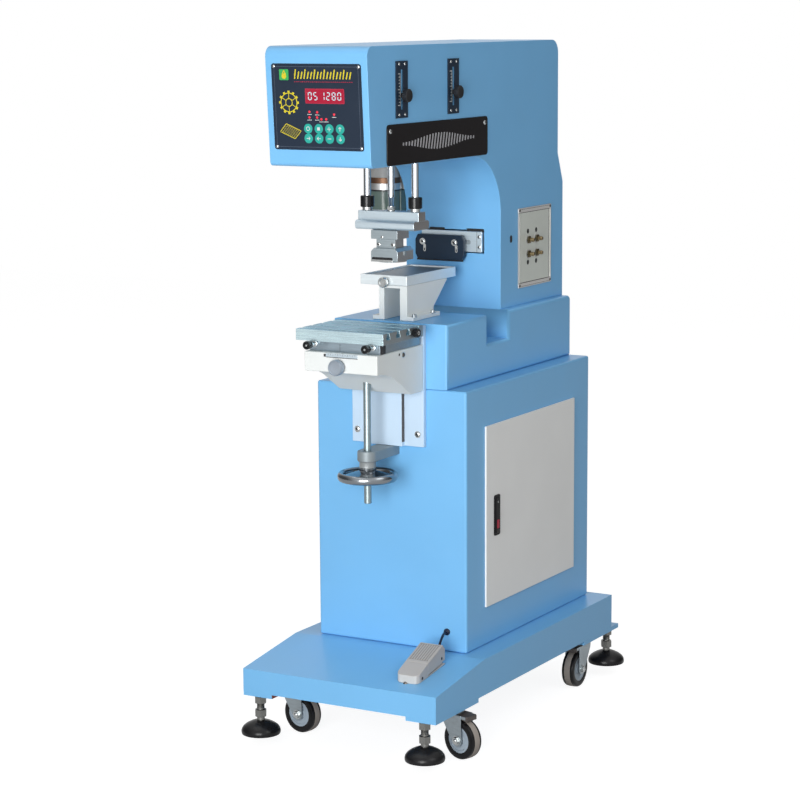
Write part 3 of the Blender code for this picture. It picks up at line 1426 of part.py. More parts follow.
def build_control_panel():
    """Control panel on the head's leaning front face."""
    lean = math.atan2(HEAD_LEAN, HEAD_HEIGHT)
    panel = block(
        "control_panel",
        span(0, 2 * PANEL_HALF_WIDTH),
        (-SEAT_GAP - PANEL_THICKNESS, -SEAT_GAP),
        (PANEL_RISE, PANEL_RISE + PANEL_HEIGHT),
    )
    panel.matrix_local = Matrix.Translation((0, -HEAD_REACH, HEAD_BOTTOM)) @ Matrix.Rotation(lean, 4, "X")
    finish(panel, "panel_film", smooth=False)


def build_side_plates():
    """Name plate, the two stroke plates with their sliding knobs, and the air panel with its valves."""
    name_low = HEAD_BOTTOM + NAME_PLATE_RISE
    name_plate = block(
        "name_plate",
        (SIDE_FACE, SIDE_FACE + NAME_PLATE_THICKNESS),
        (-NAME_PLATE_FRONT, NAME_PLATE_LENGTH - NAME_PLATE_FRONT),
        (name_low, name_low + NAME_PLATE_HEIGHT),
    )
    finish(name_plate, "black_anodised", smooth=False)

    low = HEAD_BOTTOM + STROKE_PLATE_RISE
    slot_low = low + (STROKE_PLATE_HEIGHT - STROKE_SLOT_LENGTH) / 2
    for name, y in (("front", STROKE_PLATE_FRONT_Y), ("rear", STROKE_PLATE_REAR_Y)):
        outer = SIDE_FACE + STROKE_PLATE_THICKNESS
        plate = block(
            "stroke_plate_" + name,
            (SIDE_FACE, outer),
            span(y, STROKE_PLATE_WIDTH),
            (low, low + STROKE_PLATE_HEIGHT),
        )
        slot = block(
            "stroke_slot",
            (SIDE_FACE - CUT_OVERRUN, outer + CUT_OVERRUN),
            span(y, STROKE_SLOT_WIDTH),
            (slot_low, slot_low + STROKE_SLOT_LENGTH),
            cutter=True,
        )
        cut(plate, slot)
        finish(plate, "black_anodised", smooth=False)
        knob_z = low + STROKE_KNOB_LIFT
        knob_inner = outer + STROKE_KNOB_STANDOFF
        knob = round_bar(
            "stroke_knob_" + name,
            "X",
            (y, knob_z),
            STROKE_KNOB_RADIUS,
            (knob_inner, knob_inner + STROKE_KNOB_LENGTH),
            sides=20,
        )
        stem = round_bar(
            "stroke_stem",
            "X",
            (y, knob_z),
            STROKE_KNOB_STEM_RADIUS,
            (SIDE_FACE + SEAT_GAP, knob_inner + JOIN_OVERLAP),
            sides=12,
            cutter=True,
        )
        set_origin(knob, (knob_inner, y, knob_z))
        fuse(knob, stem)
        finish(knob, "dark_plastic")

    panel_low = MID_TOP + AIR_PANEL_RISE
    panel_outer = SIDE_FACE + AIR_PANEL_THICKNESS
    panel = block(
        "air_panel",
        (SIDE_FACE, panel_outer),
        (AIR_PANEL_FRONT, AIR_PANEL_FRONT + AIR_PANEL_WIDTH),
        (panel_low, panel_low + AIR_PANEL_HEIGHT),
    )
    finish(panel, "aluminium", smooth=False)
    valve_top = panel_low + AIR_PANEL_HEIGHT - VALVE_DROP
    inner = panel_outer + SEAT_GAP
    for index in range(VALVE_COUNT):
        y = AIR_PANEL_FRONT + VALVE_INSET + (index % VALVE_COLUMNS) * VALVE_PITCH_Y
        z = valve_top - (index // VALVE_COLUMNS) * VALVE_PITCH_Z
        profile = [
            (0, VALVE_LENGTH),
            (VALVE_STEM_RADIUS, VALVE_LENGTH),
            (VALVE_STEM_RADIUS, VALVE_NUT_LENGTH + VALVE_CONE_LENGTH),
            (VALVE_RADIUS, VALVE_NUT_LENGTH),
            (VALVE_RADIUS, 0),
            (0, 0),
        ]
        valve = turned("flow_valve_%d" % (index + 1), profile, (inner, y, z), "X", steps=16)
        finish(valve, "brass")


def build_regulator():
    """Filter regulator with its knob and bowl, on a bracket at the left of the neck."""
    body_low = MID_TOP + REGULATOR_RISE + REGULATOR_BOWL_LENGTH
    body_top = body_low + REGULATOR_BODY_HEIGHT
    top = body_top + REGULATOR_KNOB_HEIGHT
    low = body_low - REGULATOR_BOWL_LENGTH
    profile = [
        (0, top),
        (REGULATOR_KNOB_RADIUS, top),
        (REGULATOR_KNOB_RADIUS, body_top),
        (REGULATOR_RADIUS, body_top),
        (REGULATOR_RADIUS, body_low),
        (REGULATOR_BOWL_RADIUS, body_low),
        (REGULATOR_BOWL_RADIUS, low + REGULATOR_BOWL_ROUND),
        (REGULATOR_BOWL_RADIUS - REGULATOR_BOWL_ROUND, low),
        (0, low),
    ]
    regulator = turned("filter_regulator", profile, (-REGULATOR_X, REGULATOR_Y, 0))
    arm = block(
        "regulator_arm",
        (-REGULATOR_X, -SIDE_FACE),
        span(REGULATOR_Y + REGULATOR_ARM_OFFSET, 2 * REGULATOR_ARM_HALF_WIDTH),
        (body_low + JOIN_OVERLAP, body_top - JOIN_OVERLAP),
        cutter=True,
    )
    fuse(regulator, arm)
    finish(regulator, "light_grey_paint")


def ramp_height(y):
    """Return the ramp's height at a depth y."""
    run = BASE_FRONT_REACH - RAMP_SETBACK
    return RAMP_FRONT_TOP + RAMP_RISE * (y + BASE_FRONT_REACH) / run


def pedal_points():
    """Return the pedal's toe, split, top and nose points on its upper side."""
    toe_y = PEDAL_TOE_Y
    split_y = toe_y + PEDAL_SPLIT_LENGTH
    top_y = split_y + PEDAL_TOP_LENGTH
    toe = (toe_y, ramp_height(toe_y) + PEDAL_TOE_HEIGHT)
    split = (split_y, ramp_height(split_y) + PEDAL_SPLIT_RISE)
    top = (top_y, ramp_height(top_y) + PEDAL_TOP_RISE)
    nose = (top_y + PEDAL_NOSE_LENGTH, top[1] - PEDAL_NOSE_DROP)
    return toe, split, top, nose


def pedal_plate_height(y):
    """Return the height of the pedal's bottom plate at a depth y."""
    return ramp_height(y) + SEAT_GAP + PEDAL_PLATE_THICKNESS


def pedal_pivot():
    """Return the depth and height of the tread's pivot."""
    split_y = pedal_points()[1][0]
    return split_y, pedal_plate_height(split_y) + RUN_GAP


def build_pedal():
    """Foot pedal on the ramp: housing with a hinged tread over it, and its cable to the cabinet."""
    toe, split, top, nose = pedal_points()
    pivot = pedal_pivot()
    xs = (PEDAL_LEFT_X, PEDAL_LEFT_X + PEDAL_WIDTH)
    inner = (xs[0] + PEDAL_SKIRT_WALL, xs[1] - PEDAL_SKIRT_WALL)
    slope = (top[1] - split[1]) / (top[0] - split[0])
    toe_back = split[0] - SEAT_GAP
    housing = prism(
        "foot_pedal_base",
        [
            (toe[0], ramp_height(toe[0]) + SEAT_GAP),
            toe,
            (toe_back, split[1] - slope * SEAT_GAP),
            (toe_back, pedal_plate_height(toe_back)),
            (nose[0], pedal_plate_height(nose[0])),
            (nose[0], ramp_height(nose[0]) + SEAT_GAP),
        ],
        "X",
        xs,
    )
    body_drop = PEDAL_TREAD_WALL + PEDAL_PRESS_ROOM
    body_back = nose[0] - PEDAL_BODY_INSET
    body_front = toe_back - JOIN_OVERLAP
    body_top = top[0] - PEDAL_BODY_INSET
    body = prism(
        "pedal_body",
        [
            (body_front, pedal_plate_height(body_front) - JOIN_OVERLAP),
            (body_front, split[1] - body_drop),
            (body_top, split[1] + slope * (body_top - body_front) - body_drop),
            (body_back, nose[1] - body_drop),
            (body_back, pedal_plate_height(body_back) - JOIN_OVERLAP),
        ],
        "X",
        (inner[0] + RUN_GAP, inner[1] - RUN_GAP),
        cutter=True,
    )
    fuse(housing, body)
    finish(housing, "beige_plastic", smooth=False)
    tread = prism(
        "foot_pedal_top",
        [pivot, split, top, nose, (nose[0], pedal_plate_height(nose[0]) + PEDAL_PRESS_ROOM)],
        "X",
        xs,
    )
    room = prism(
        "pedal_tread_room",
        [
            (split[0] - CUT_OVERRUN, pivot[1] - CUT_OVERRUN),
            (split[0] - CUT_OVERRUN, split[1] - slope * CUT_OVERRUN - PEDAL_TREAD_WALL),
            (top[0] - PEDAL_TREAD_WALL, top[1] - slope * PEDAL_TREAD_WALL - PEDAL_TREAD_WALL),
            (nose[0] + CUT_OVERRUN, nose[1] - PEDAL_TREAD_WALL - CUT_OVERRUN),
            (nose[0] + CUT_OVERRUN, pivot[1] - CUT_OVERRUN),
        ],
        "X",
        inner,
        cutter=True,
    )
    cut(tread, room)
    set_origin(tread, (sum(xs) / 2, *pivot))
    finish(tread, "beige_plastic", smooth=False)

    grommet_z = BASE_TOP + GROMMET_RISE
    grommet_front = -SEAT_GAP - GROMMET_LENGTH
    grommet = round_bar(
        "cable_grommet", "Y", (GROMMET_X, grommet_z), GROMMET_RADIUS, (grommet_front, -SEAT_GAP), sides=20
    )
    finish(grommet, "black_rubber")
    build_cable(Vector((GROMMET_X, grommet_front - SEAT_GAP, grommet_z)))


def smooth_route(route, count):
    """Return evenly parted points of a Catmull-Rom curve through a route's points."""
    places = [Vector(place) for place in route]
    places = [2 * places[0] - places[1], *places, 2 * places[-1] - places[-2]]
    points = []
    stretches = len(places) - 3
    for index in range(count + 1):
        along = index * stretches / count
        first = min(int(along), stretches - 1)
        t = along - first
        a, b, c, d = places[first:first + 4]
        points.append(0.5 * (
            2 * b
            + (c - a) * t
            + (2 * a - 5 * b + 4 * c - d) * t * t
            + (3 * b - a - 3 * c + d) * t * t * t
        ))
    return points


def build_cable(end):
    """Cable from the pedal's back to the grommet on the cabinet."""
    route = [*CABLE_ROUTE[:-1], tuple(end)]
    points = smooth_route(route, CABLE_POINT_COUNT)
    curve = bpy.data.curves.new("pedal_cable", "CURVE")
    curve.dimensions = "3D"
    curve.bevel_depth = CABLE_RADIUS
    curve.bevel_resolution = 2
    curve.use_fill_caps = True
    spline = curve.splines.new("POLY")
    spline.points.add(len(points) - 1)
    for point, place in zip(spline.points, points):
        point.co = (*place, 1)
    cable = add_object("pedal_cable", curve)
    return finish(cable, "black_rubber", smooth=False)


def centre_footprint():
    """Move the machine so that the middle of its footprint is the origin."""
    depsgraph = bpy.context.evaluated_depsgraph_get()
    depsgraph.update()
    low = Vector((math.inf, math.inf))
    high = Vector((-math.inf, -math.inf))
    for item in PARTS.objects:
        if item.type != "MESH":
            continue
        evaluated = item.evaluated_get(depsgraph)
        for vertex in evaluated.data.vertices:
            place = item.matrix_world @ vertex.co
            low = Vector((min(low.x, place.x), min(low.y, place.y)))
            high = Vector((max(high.x, place.x), max(high.y, place.y)))
    middle = (low + high) / 2
    MACHINE.location = (-middle.x, -middle.y, 0)


def main():
    """Build every sub-part."""
    build_base()
    build_feet()
    build_casters()
    build_cabinet()
    build_mid_body()
    build_frame()
    build_carriage()
    build_pad_head()
    build_ink_unit()
    build_blade_unit()
    build_table()
    build_control_panel()
    build_side_plates()
    build_regulator()
    build_pedal()
    centre_footprint()


main()
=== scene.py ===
# Looks of the pad printing machine: finishes, small fittings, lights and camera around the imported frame
import json
import math

import bmesh
import bpy
from mathutils import Matrix, Vector

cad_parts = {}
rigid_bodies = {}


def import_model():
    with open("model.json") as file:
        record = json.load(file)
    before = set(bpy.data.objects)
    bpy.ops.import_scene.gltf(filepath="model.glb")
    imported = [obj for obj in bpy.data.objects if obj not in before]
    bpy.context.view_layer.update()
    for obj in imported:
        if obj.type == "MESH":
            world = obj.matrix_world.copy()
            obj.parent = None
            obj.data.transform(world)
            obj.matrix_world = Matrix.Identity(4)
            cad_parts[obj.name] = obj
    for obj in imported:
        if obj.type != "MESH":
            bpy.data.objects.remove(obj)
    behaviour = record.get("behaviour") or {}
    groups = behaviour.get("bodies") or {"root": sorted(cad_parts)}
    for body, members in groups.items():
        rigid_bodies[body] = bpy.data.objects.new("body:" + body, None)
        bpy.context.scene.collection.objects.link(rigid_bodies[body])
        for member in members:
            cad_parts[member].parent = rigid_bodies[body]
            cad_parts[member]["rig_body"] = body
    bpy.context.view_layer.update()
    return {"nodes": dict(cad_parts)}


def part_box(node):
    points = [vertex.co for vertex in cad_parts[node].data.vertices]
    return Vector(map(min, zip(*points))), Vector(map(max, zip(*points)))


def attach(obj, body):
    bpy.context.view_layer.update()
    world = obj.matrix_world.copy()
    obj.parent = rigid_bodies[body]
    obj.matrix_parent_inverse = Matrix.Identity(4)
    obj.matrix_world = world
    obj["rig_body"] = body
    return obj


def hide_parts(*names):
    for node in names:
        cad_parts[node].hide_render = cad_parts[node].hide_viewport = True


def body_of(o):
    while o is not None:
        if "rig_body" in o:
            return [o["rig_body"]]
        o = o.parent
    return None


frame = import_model()
scene = bpy.context.scene

cabinetLow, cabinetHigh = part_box("lower_cabinet")
machineZero = Vector(((cabinetLow.x + cabinetHigh.x) / 2, cabinetLow.y, 0))   # column's front, centre plane, floor
headLow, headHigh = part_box("c_frame_shell")
weldGap = 0.00002


# Camera, at the photograph's place
cameraSet = {
    "place": (2.2214, -3.8693, 1.3729),   # from machineZero
    "azimuth": 29.63,
    "elevation": 9.31,
    "roll": -0.35,
    "lens": 108.74,
    "sensor": 36,
}


def makeCamera():
    azimuth, elevation, roll = (math.radians(cameraSet[key]) for key in ("azimuth", "elevation", "roll"))
    back = Vector((
        math.sin(azimuth) * math.cos(elevation),
        -math.cos(azimuth) * math.cos(elevation),
        math.sin(elevation),
    ))
    level = Vector((math.cos(azimuth), math.sin(azimuth), 0))
    up = back.cross(level)
    right = math.cos(roll) * level + math.sin(roll) * up
    data = bpy.data.cameras.new("camera")
    data.lens = cameraSet["lens"]
    data.sensor_width = cameraSet["sensor"]
    camera = bpy.data.objects.new("camera", data)
    turn = Matrix((right, back.cross(right), back)).transposed().to_4x4()
    camera.matrix_world = Matrix.Translation(machineZero + Vector(cameraSet["place"])) @ turn
    scene.collection.objects.link(camera)
    scene.camera = camera


makeCamera()
print("camera placed")


# Node groups that several finishes share
def newGroup(name, inputs, outputs):
    group = bpy.data.node_groups.new(name, "ShaderNodeTree")
    for label, kind, value in inputs:
        socket = group.interface.new_socket(name=label, in_out="INPUT", socket_type=kind)
        if value is not None:
            socket.default_value = value
    for label, kind in outputs:
        group.interface.new_socket(name=label, in_out="OUTPUT", socket_type=kind)
    start = group.nodes.new("NodeGroupInput")
    end = group.nodes.new("NodeGroupOutput")
    return group, start.outputs, end.inputs


def addNoise(tree, vector, scale, detail=2.0, roughness=0.5):
    noise = tree.nodes.new("ShaderNodeTexNoise")
    noise.inputs["Scale"].default_value = scale
    noise.inputs["Detail"].default_value = detail
    noise.inputs["Roughness"].default_value = roughness
    tree.links.new(vector, noise.inputs["Vector"])
    return noise.outputs["Fac"]


def addMath(tree, operation, first, second, third=None, clamp=False):
    step = tree.nodes.new("ShaderNodeMath")
    step.operation = operation
    step.use_clamp = clamp
    for socket, value in zip(step.inputs, (first, second, third)):
        if isinstance(value, bpy.types.NodeSocket):
            tree.links.new(value, socket)
        elif value is not None:
            socket.default_value = value
    return step.outputs[0]


def addRange(tree, value, fromLow, fromHigh, toLow, toHigh):
    step = tree.nodes.new("ShaderNodeMapRange")
    for label, given in zip(("Value", "From Min", "From Max", "To Min", "To Max"), (value, fromLow, fromHigh, toLow, toHigh)):
        if isinstance(given, bpy.types.NodeSocket):
            tree.links.new(given, step.inputs[label])
        else:
            step.inputs[label].default_value = given
    return step.outputs[0]


def addMix(tree, factor, first, second, blend="MIX"):
    step = tree.nodes.new("ShaderNodeMix")
    step.data_type = "RGBA"
    step.blend_type = blend
    for socket, value in ((step.inputs[0], factor), (step.inputs[6], first), (step.inputs[7], second)):
        if isinstance(value, bpy.types.NodeSocket):
            tree.links.new(value, socket)
        elif isinstance(value, float):
            socket.default_value = value
        else:
            socket.default_value = (*value, 1.0)
    return step.outputs[2]


def shadeBy(tree, color, factor):
    # the colour, lighter or darker by a factor that varies over the surface
    shade = tree.nodes.new("ShaderNodeHueSaturation")
    tree.links.new(color, shade.inputs["Color"])
    tree.links.new(factor, shade.inputs["Value"])
    return shade.outputs[0]


def makeCoatGroup():
    # sprayed or moulded skin: slow mottling, orange peel and fine dust
    group, given, made = newGroup(
        "coatSkin",
        [
            ("Vector", "NodeSocketVector", None),
            ("Color", "NodeSocketColor", (0.5, 0.5, 0.5, 1)),
            ("Roughness", "NodeSocketFloat", 0.4),
            ("Mottle", "NodeSocketFloat", 0.03),
            ("Peel Scale", "NodeSocketFloat", 350.0),
            ("Dust Color", "NodeSocketColor", (0.6, 0.6, 0.6, 1)),
            ("Dust", "NodeSocketFloat", 0.04),
        ],
        [("Color", "NodeSocketColor"), ("Roughness", "NodeSocketFloat"), ("Height", "NodeSocketFloat")],
    )
    slow = addNoise(group, given["Vector"], 7.0, 3.0)
    drift = addMath(group, "MULTIPLY_ADD", addRange(group, slow, 0.3, 0.7, -1.0, 1.0), given["Mottle"], 1.0)
    toned = shadeBy(group, given["Color"], drift)
    patches = addRange(group, addNoise(group, given["Vector"], 23.0, 6.0, 0.65), 0.5, 0.75, 0.0, 1.0)
    specks = addRange(group, addNoise(group, given["Vector"], 900.0, 2.0, 0.7), 0.55, 0.75, 0.0, 1.0)
    dust = addMath(group, "MULTIPLY", addMath(group, "MULTIPLY_ADD", patches, 0.6, specks), given["Dust"], clamp=True)
    group.links.new(addMix(group, dust, toned, given["Dust Color"]), made["Color"])
    spread = addRange(group, slow, 0.3, 0.7, -0.04, 0.04)
    rough = addMath(group, "ADD", given["Roughness"], addMath(group, "MULTIPLY_ADD", dust, 0.8, spread), clamp=True)
    group.links.new(rough, made["Roughness"])
    peel = group.nodes.new("ShaderNodeTexNoise")
    peel.inputs["Detail"].default_value = 1.5
    group.links.new(given["Vector"], peel.inputs["Vector"])
    group.links.new(given["Peel Scale"], peel.inputs["Scale"])
    group.links.new(peel.outputs["Fac"], made["Height"])
    return group


def makeLinesGroup():
    # brushed, ground or drawn metal: the lines run along the vector's X
    group, given, made = newGroup(
        "metalLines",
        [
            ("Vector", "NodeSocketVector", None),
            ("Color", "NodeSocketColor", (0.6, 0.6, 0.6, 1)),
            ("Roughness", "NodeSocketFloat", 0.3),
            ("Contrast", "NodeSocketFloat", 0.12),
            ("Fineness", "NodeSocketFloat", 900.0),
            ("Stain Color", "NodeSocketColor", (0.3, 0.29, 0.27, 1)),
            ("Stain", "NodeSocketFloat", 0.1),
        ],
        [("Color", "NodeSocketColor"), ("Roughness", "NodeSocketFloat"), ("Height", "NodeSocketFloat")],
    )
    stretch = group.nodes.new("ShaderNodeVectorMath")
    stretch.operation = "MULTIPLY"
    stretch.inputs[1].default_value = (0.02, 1.0, 1.0)
    group.links.new(given["Vector"], stretch.inputs[0])
    lines = group.nodes.new("ShaderNodeTexNoise")
    lines.inputs["Detail"].default_value = 3.0
    group.links.new(stretch.outputs[0], lines.inputs["Vector"])
    group.links.new(given["Fineness"], lines.inputs["Scale"])
    swing = addRange(group, lines.outputs["Fac"], 0.3, 0.7, -1.0, 1.0)
    drift = addRange(group, addNoise(group, given["Vector"], 12.0, 3.0), 0.3, 0.7, -0.5, 0.5)
    both = addMath(group, "ADD", swing, drift)
    toned = shadeBy(group, given["Color"], addMath(group, "MULTIPLY_ADD", both, given["Contrast"], 1.0))
    blots = addRange(group, addNoise(group, given["Vector"], 45.0, 5.0, 0.6), 0.52, 0.72, 0.0, 1.0)
    stain = addMath(group, "MULTIPLY", blots, given["Stain"], clamp=True)
    group.links.new(addMix(group, stain, toned, given["Stain Color"]), made["Color"])
    rough = addMath(group, "MULTIPLY_ADD", swing, addMath(group, "MULTIPLY", given["Contrast"], 0.5), given["Roughness"])
    group.links.new(addMath(group, "MULTIPLY_ADD", stain, 0.5, rough, clamp=True), made["Roughness"])
    group.links.new(lines.outputs["Fac"], made["Height"])
    return group


def makeRingsGroup():
    # lathe marks round the vector's Z
    group, given, made = newGroup(
        "latheMarks",
        [
            ("Vector", "NodeSocketVector", None),
            ("Color", "NodeSocketColor", (0.6, 0.6, 0.6, 1)),
            ("Roughness", "NodeSocketFloat", 0.2),
            ("Contrast", "NodeSocketFloat", 0.06),
            ("Pitch", "NodeSocketFloat", 900.0),
        ],
        [("Color", "NodeSocketColor"), ("Roughness", "NodeSocketFloat"), ("Height", "NodeSocketFloat")],
    )
    parts = group.nodes.new("ShaderNodeSeparateXYZ")
    group.links.new(given["Vector"], parts.inputs[0])
    across = addMath(group, "MULTIPLY_ADD", parts.outputs[0], parts.outputs[0], addMath(
        group, "MULTIPLY", parts.outputs[1], parts.outputs[1]))
    place = group.nodes.new("ShaderNodeCombineXYZ")
    group.links.new(addMath(group, "SQRT", across, 0.0), place.inputs[0])
    group.links.new(parts.outputs[2], place.inputs[1])
    rings = group.nodes.new("ShaderNodeTexNoise")
    rings.inputs["Detail"].default_value = 2.0
    group.links.new(place.outputs[0], rings.inputs["Vector"])
    group.links.new(given["Pitch"], rings.inputs["Scale"])
    swing = addRange(group, rings.outputs["Fac"], 0.3, 0.7, -1.0, 1.0)
    group.links.new(shadeBy(group, given["Color"], addMath(
        group, "MULTIPLY_ADD", swing, given["Contrast"], 1.0)), made["Color"])
    smear = addRange(group, addNoise(group, given["Vector"], 60.0, 4.0), 0.4, 0.7, 0.0, 0.08)
    rough = addMath(group, "MULTIPLY_ADD", swing, addMath(group, "MULTIPLY", given["Contrast"], 0.4), given["Roughness"])
    group.links.new(addMath(group, "ADD", rough, smear, clamp=True), made["Roughness"])
    group.links.new(rings.outputs["Fac"], made["Height"])
    return group


coatGroup = makeCoatGroup()
linesGroup = makeLinesGroup()
ringsGroup = makeRingsGroup()


def surfaceMaterial(name, group, values, metallic=0.0, bump=0.1, depth=0.0002, turn=(0, 0, 0), centre=(0, 0, 0), **fixed):
    # a Principled material whose colour, roughness and bump come from one of the groups
    material = bpy.data.materials.new(name)
    material.use_nodes = True
    tree = material.node_tree
    shader = tree.nodes["Principled BSDF"]
    shader.inputs["Metallic"].default_value = metallic
    for label, value in fixed.items():
        shader.inputs[label.replace("_", " ")].default_value = value
    places = tree.nodes.new("ShaderNodeTexCoord")
    mapping = tree.nodes.new("ShaderNodeMapping")
    mapping.vector_type = "TEXTURE"
    mapping.inputs["Location"].default_value = centre
    mapping.inputs["Rotation"].default_value = [math.radians(angle) for angle in turn]
    tree.links.new(places.outputs["Object"], mapping.inputs["Vector"])
    skin = tree.nodes.new("ShaderNodeGroup")
    skin.node_tree = group
    tree.links.new(mapping.outputs[0], skin.inputs["Vector"])
    for label, value in values.items():
        skin.inputs[label].default_value = (*value, 1.0) if isinstance(value, tuple) else value
    relief = tree.nodes.new("ShaderNodeBump")
    relief.inputs["Strength"].default_value = bump
    relief.inputs["Distance"].default_value = depth
    tree.links.new(skin.outputs["Color"], shader.inputs["Base Color"])
    tree.links.new(skin.outputs["Roughness"], shader.inputs["Roughness"])
    tree.links.new(skin.outputs["Height"], relief.inputs["Height"])
    tree.links.new(relief.outputs[0], shader.inputs["Normal"])
    return material


def coat(name, color, rough, mottle=0.03, peel=350.0, dust=0.04, dustColor=(0.6, 0.6, 0.6), **more):
    values = {"Color": color, "Roughness": rough, "Mottle": mottle, "Peel Scale": peel, "Dust": dust, "Dust Color": dustColor}
    return surfaceMaterial(name, coatGroup, values, **more)


def metal(name, color, rough, contrast=0.12, fineness=900.0, stain=0.1, **more):
    values = {"Color": color, "Roughness": rough, "Contrast": contrast, "Fineness": fineness, "Stain": stain}
    return surfaceMaterial(name, linesGroup, values, **{"metallic": 1.0, **more})


def lathed(name, color, rough, contrast=0.06, pitch=900.0, **more):
    values = {"Color": color, "Roughness": rough, "Contrast": contrast, "Pitch": pitch}
    return surfaceMaterial(name, ringsGroup, values, **{"metallic": 1.0, **more})


bluePaint = coat("bluePaint", (0.190, 0.490, 0.820), 0.36, mottle=0.02, peel=420.0, dust=0.03,
                 dustColor=(0.50, 0.66, 0.80), bump=0.12, Specular_IOR_Level=0.28, Coat_Weight=0.08, Coat_Roughness=0.12)
creamPaint = coat("creamPaint", (0.76, 0.79, 0.78), 0.45, mottle=0.03, peel=500.0, dust=0.05,
                  dustColor=(0.5, 0.48, 0.42), bump=0.12, Specular_IOR_Level=0.3)
doorPaint = coat("doorPaint", (0.87, 0.88, 0.87), 0.45, mottle=0.02, peel=500.0, dust=0.03,
                 dustColor=(0.8, 0.8, 0.8), bump=0.12, Specular_IOR_Level=0.3)
greyPaint = coat("greyPaint", (0.545, 0.695, 0.85), 0.42, mottle=0.03, peel=500.0, bump=0.1, Specular_IOR_Level=0.35)
# aluminiumSideShade: a darker copy of the aluminium for the X-facing side faces, painted shade
aluminiumSideShade = metal("aluminiumSideShade", (0.36, 0.345, 0.335), 0.42, contrast=0.10, fineness=1100.0, bump=0.10)
castLight = coat("castLight", (0.40, 0.43, 0.44), 0.42, mottle=0.06, peel=300.0, dust=0.05, bump=0.2, metallic=0.5)
castGrey = coat("castGrey", (0.25, 0.29, 0.31), 0.5, mottle=0.08, peel=300.0, dust=0.08, bump=0.3, metallic=0.4)
blackGloss = coat("blackGloss", (0.010, 0.008, 0.009), 0.09, mottle=0.05, peel=120.0, dust=0.01,
                  dustColor=(0.3, 0.3, 0.3), bump=0.03, Specular_IOR_Level=0.30)
blackAnodised = coat("blackAnodised", (0.012, 0.026, 0.048), 0.34, mottle=0.08, peel=800.0, dust=0.02,
                     dustColor=(0.25, 0.28, 0.33), bump=0.1, Specular_IOR_Level=0.22)
collarBlack = coat("collarBlack", (0.005, 0.006, 0.007), 0.22, mottle=0.05, peel=200.0, dust=0.01, bump=0.04, Specular_IOR_Level=0.3)
latchBlack = coat("latchBlack", (0.006, 0.006, 0.007), 0.40, mottle=0.05, peel=400.0, dust=0.01, bump=0.1, Specular_IOR_Level=0.12)
tyreBlack = coat("tyreBlack", (0.006, 0.006, 0.007), 0.30, mottle=0.05, peel=400.0, dust=0.02, bump=0.1, Specular_IOR_Level=0.2)
blackPlastic = coat("blackPlastic", (0.014, 0.014, 0.016), 0.36, mottle=0.06, peel=700.0, dust=0.04,
                    dustColor=(0.2, 0.2, 0.2), bump=0.2, Specular_IOR_Level=0.30)
padBlack = coat("padBlack", (0.006, 0.006, 0.007), 0.28, mottle=0.08, peel=300.0, dust=0.02, bump=0.1, Specular_IOR_Level=0.25)
blackRubber = coat("blackRubber", (0.016, 0.016, 0.018), 0.50, mottle=0.08, peel=450.0, dust=0.10,
                   dustColor=(0.16, 0.15, 0.15), bump=0.3, Specular_IOR_Level=0.30)
cordRubber = coat("cordRubber", (0.008, 0.012, 0.035), 0.40, mottle=0.08, peel=700.0, dust=0.04,
                  dustColor=(0.12, 0.13, 0.16), bump=0.2, Specular_IOR_Level=0.25)
treadRubber = coat("treadRubber", (0.34, 0.305, 0.275), 0.75, mottle=0.10, peel=450.0, dust=0.15,
                   dustColor=(0.34, 0.32, 0.29), bump=0.4, Specular_IOR_Level=0.2)
hubGrey = coat("hubGrey", (0.36, 0.43, 0.50), 0.40, mottle=0.04, peel=500.0, bump=0.15, Specular_IOR_Level=0.35)
# beigeGrooveShade: a darker beige for the sheet between the pedal's ribs, painted shade in the grooves
beigeGrooveShade = coat("beigeGrooveShade", (0.27, 0.255, 0.24), 0.60, mottle=0.05, peel=500.0, dust=0.08, bump=0.2)
beigePlastic = coat("beigePlastic", (0.46, 0.44, 0.425), 0.50, mottle=0.03, peel=700.0, dust=0.08,
                    dustColor=(0.3, 0.28, 0.25), bump=0.25, Specular_IOR_Level=0.3)
toePlastic = coat("toePlastic", (0.58, 0.57, 0.55), 0.45, mottle=0.03, peel=700.0, dust=0.08,
                  dustColor=(0.35, 0.33, 0.30), bump=0.2, Specular_IOR_Level=0.3)
panelFilm = coat("panelFilm", (0.016, 0.026, 0.045), 0.38, mottle=0.04, peel=900.0, dust=0.02,
                 dustColor=(0.25, 0.28, 0.33), bump=0.08, Specular_IOR_Level=0.18)
keyFilm = coat("keyFilm", (0.02, 0.36, 0.30), 0.40, mottle=0.05, peel=900.0, bump=0.1, Specular_IOR_Level=0.25)
yellowInk = coat("yellowInk", (0.66, 0.55, 0.03), 0.45, mottle=0.08, peel=900.0, bump=0.05, Specular_IOR_Level=0.2)
redInk = coat("redInk", (0.42, 0.02, 0.05), 0.45, mottle=0.08, peel=900.0, bump=0.05, Specular_IOR_Level=0.2)
greenInk = coat("greenInk", (0.05, 0.40, 0.10), 0.45, mottle=0.08, peel=900.0, bump=0.05, Specular_IOR_Level=0.2)
whiteInk = coat("whiteInk", (0.62, 0.66, 0.66), 0.45, mottle=0.05, peel=900.0, bump=0.05, Specular_IOR_Level=0.2)
silverInk = coat("silverInk", (0.40, 0.40, 0.42), 0.35, mottle=0.05, peel=900.0, bump=0.05, Specular_IOR_Level=0.3)
panelLine = coat("panelLine", (0.10, 0.13, 0.18), 0.4, mottle=0.05, peel=900.0, bump=0.05, Specular_IOR_Level=0.2)
redPrimer = coat("redPrimer", (0.30, 0.07, 0.05), 0.6, mottle=0.15, peel=300.0, dust=0.2, bump=0.3)
glassBowl = coat("glassBowl", (0.10, 0.15, 0.13), 0.22, mottle=0.12, peel=60.0, dust=0.05, bump=0.05, Specular_IOR_Level=0.4)
displayRed = coat("displayRed", (0.36, 0.010, 0.035), 0.22, mottle=0.05, peel=200.0, bump=0.02, Specular_IOR_Level=0.25)
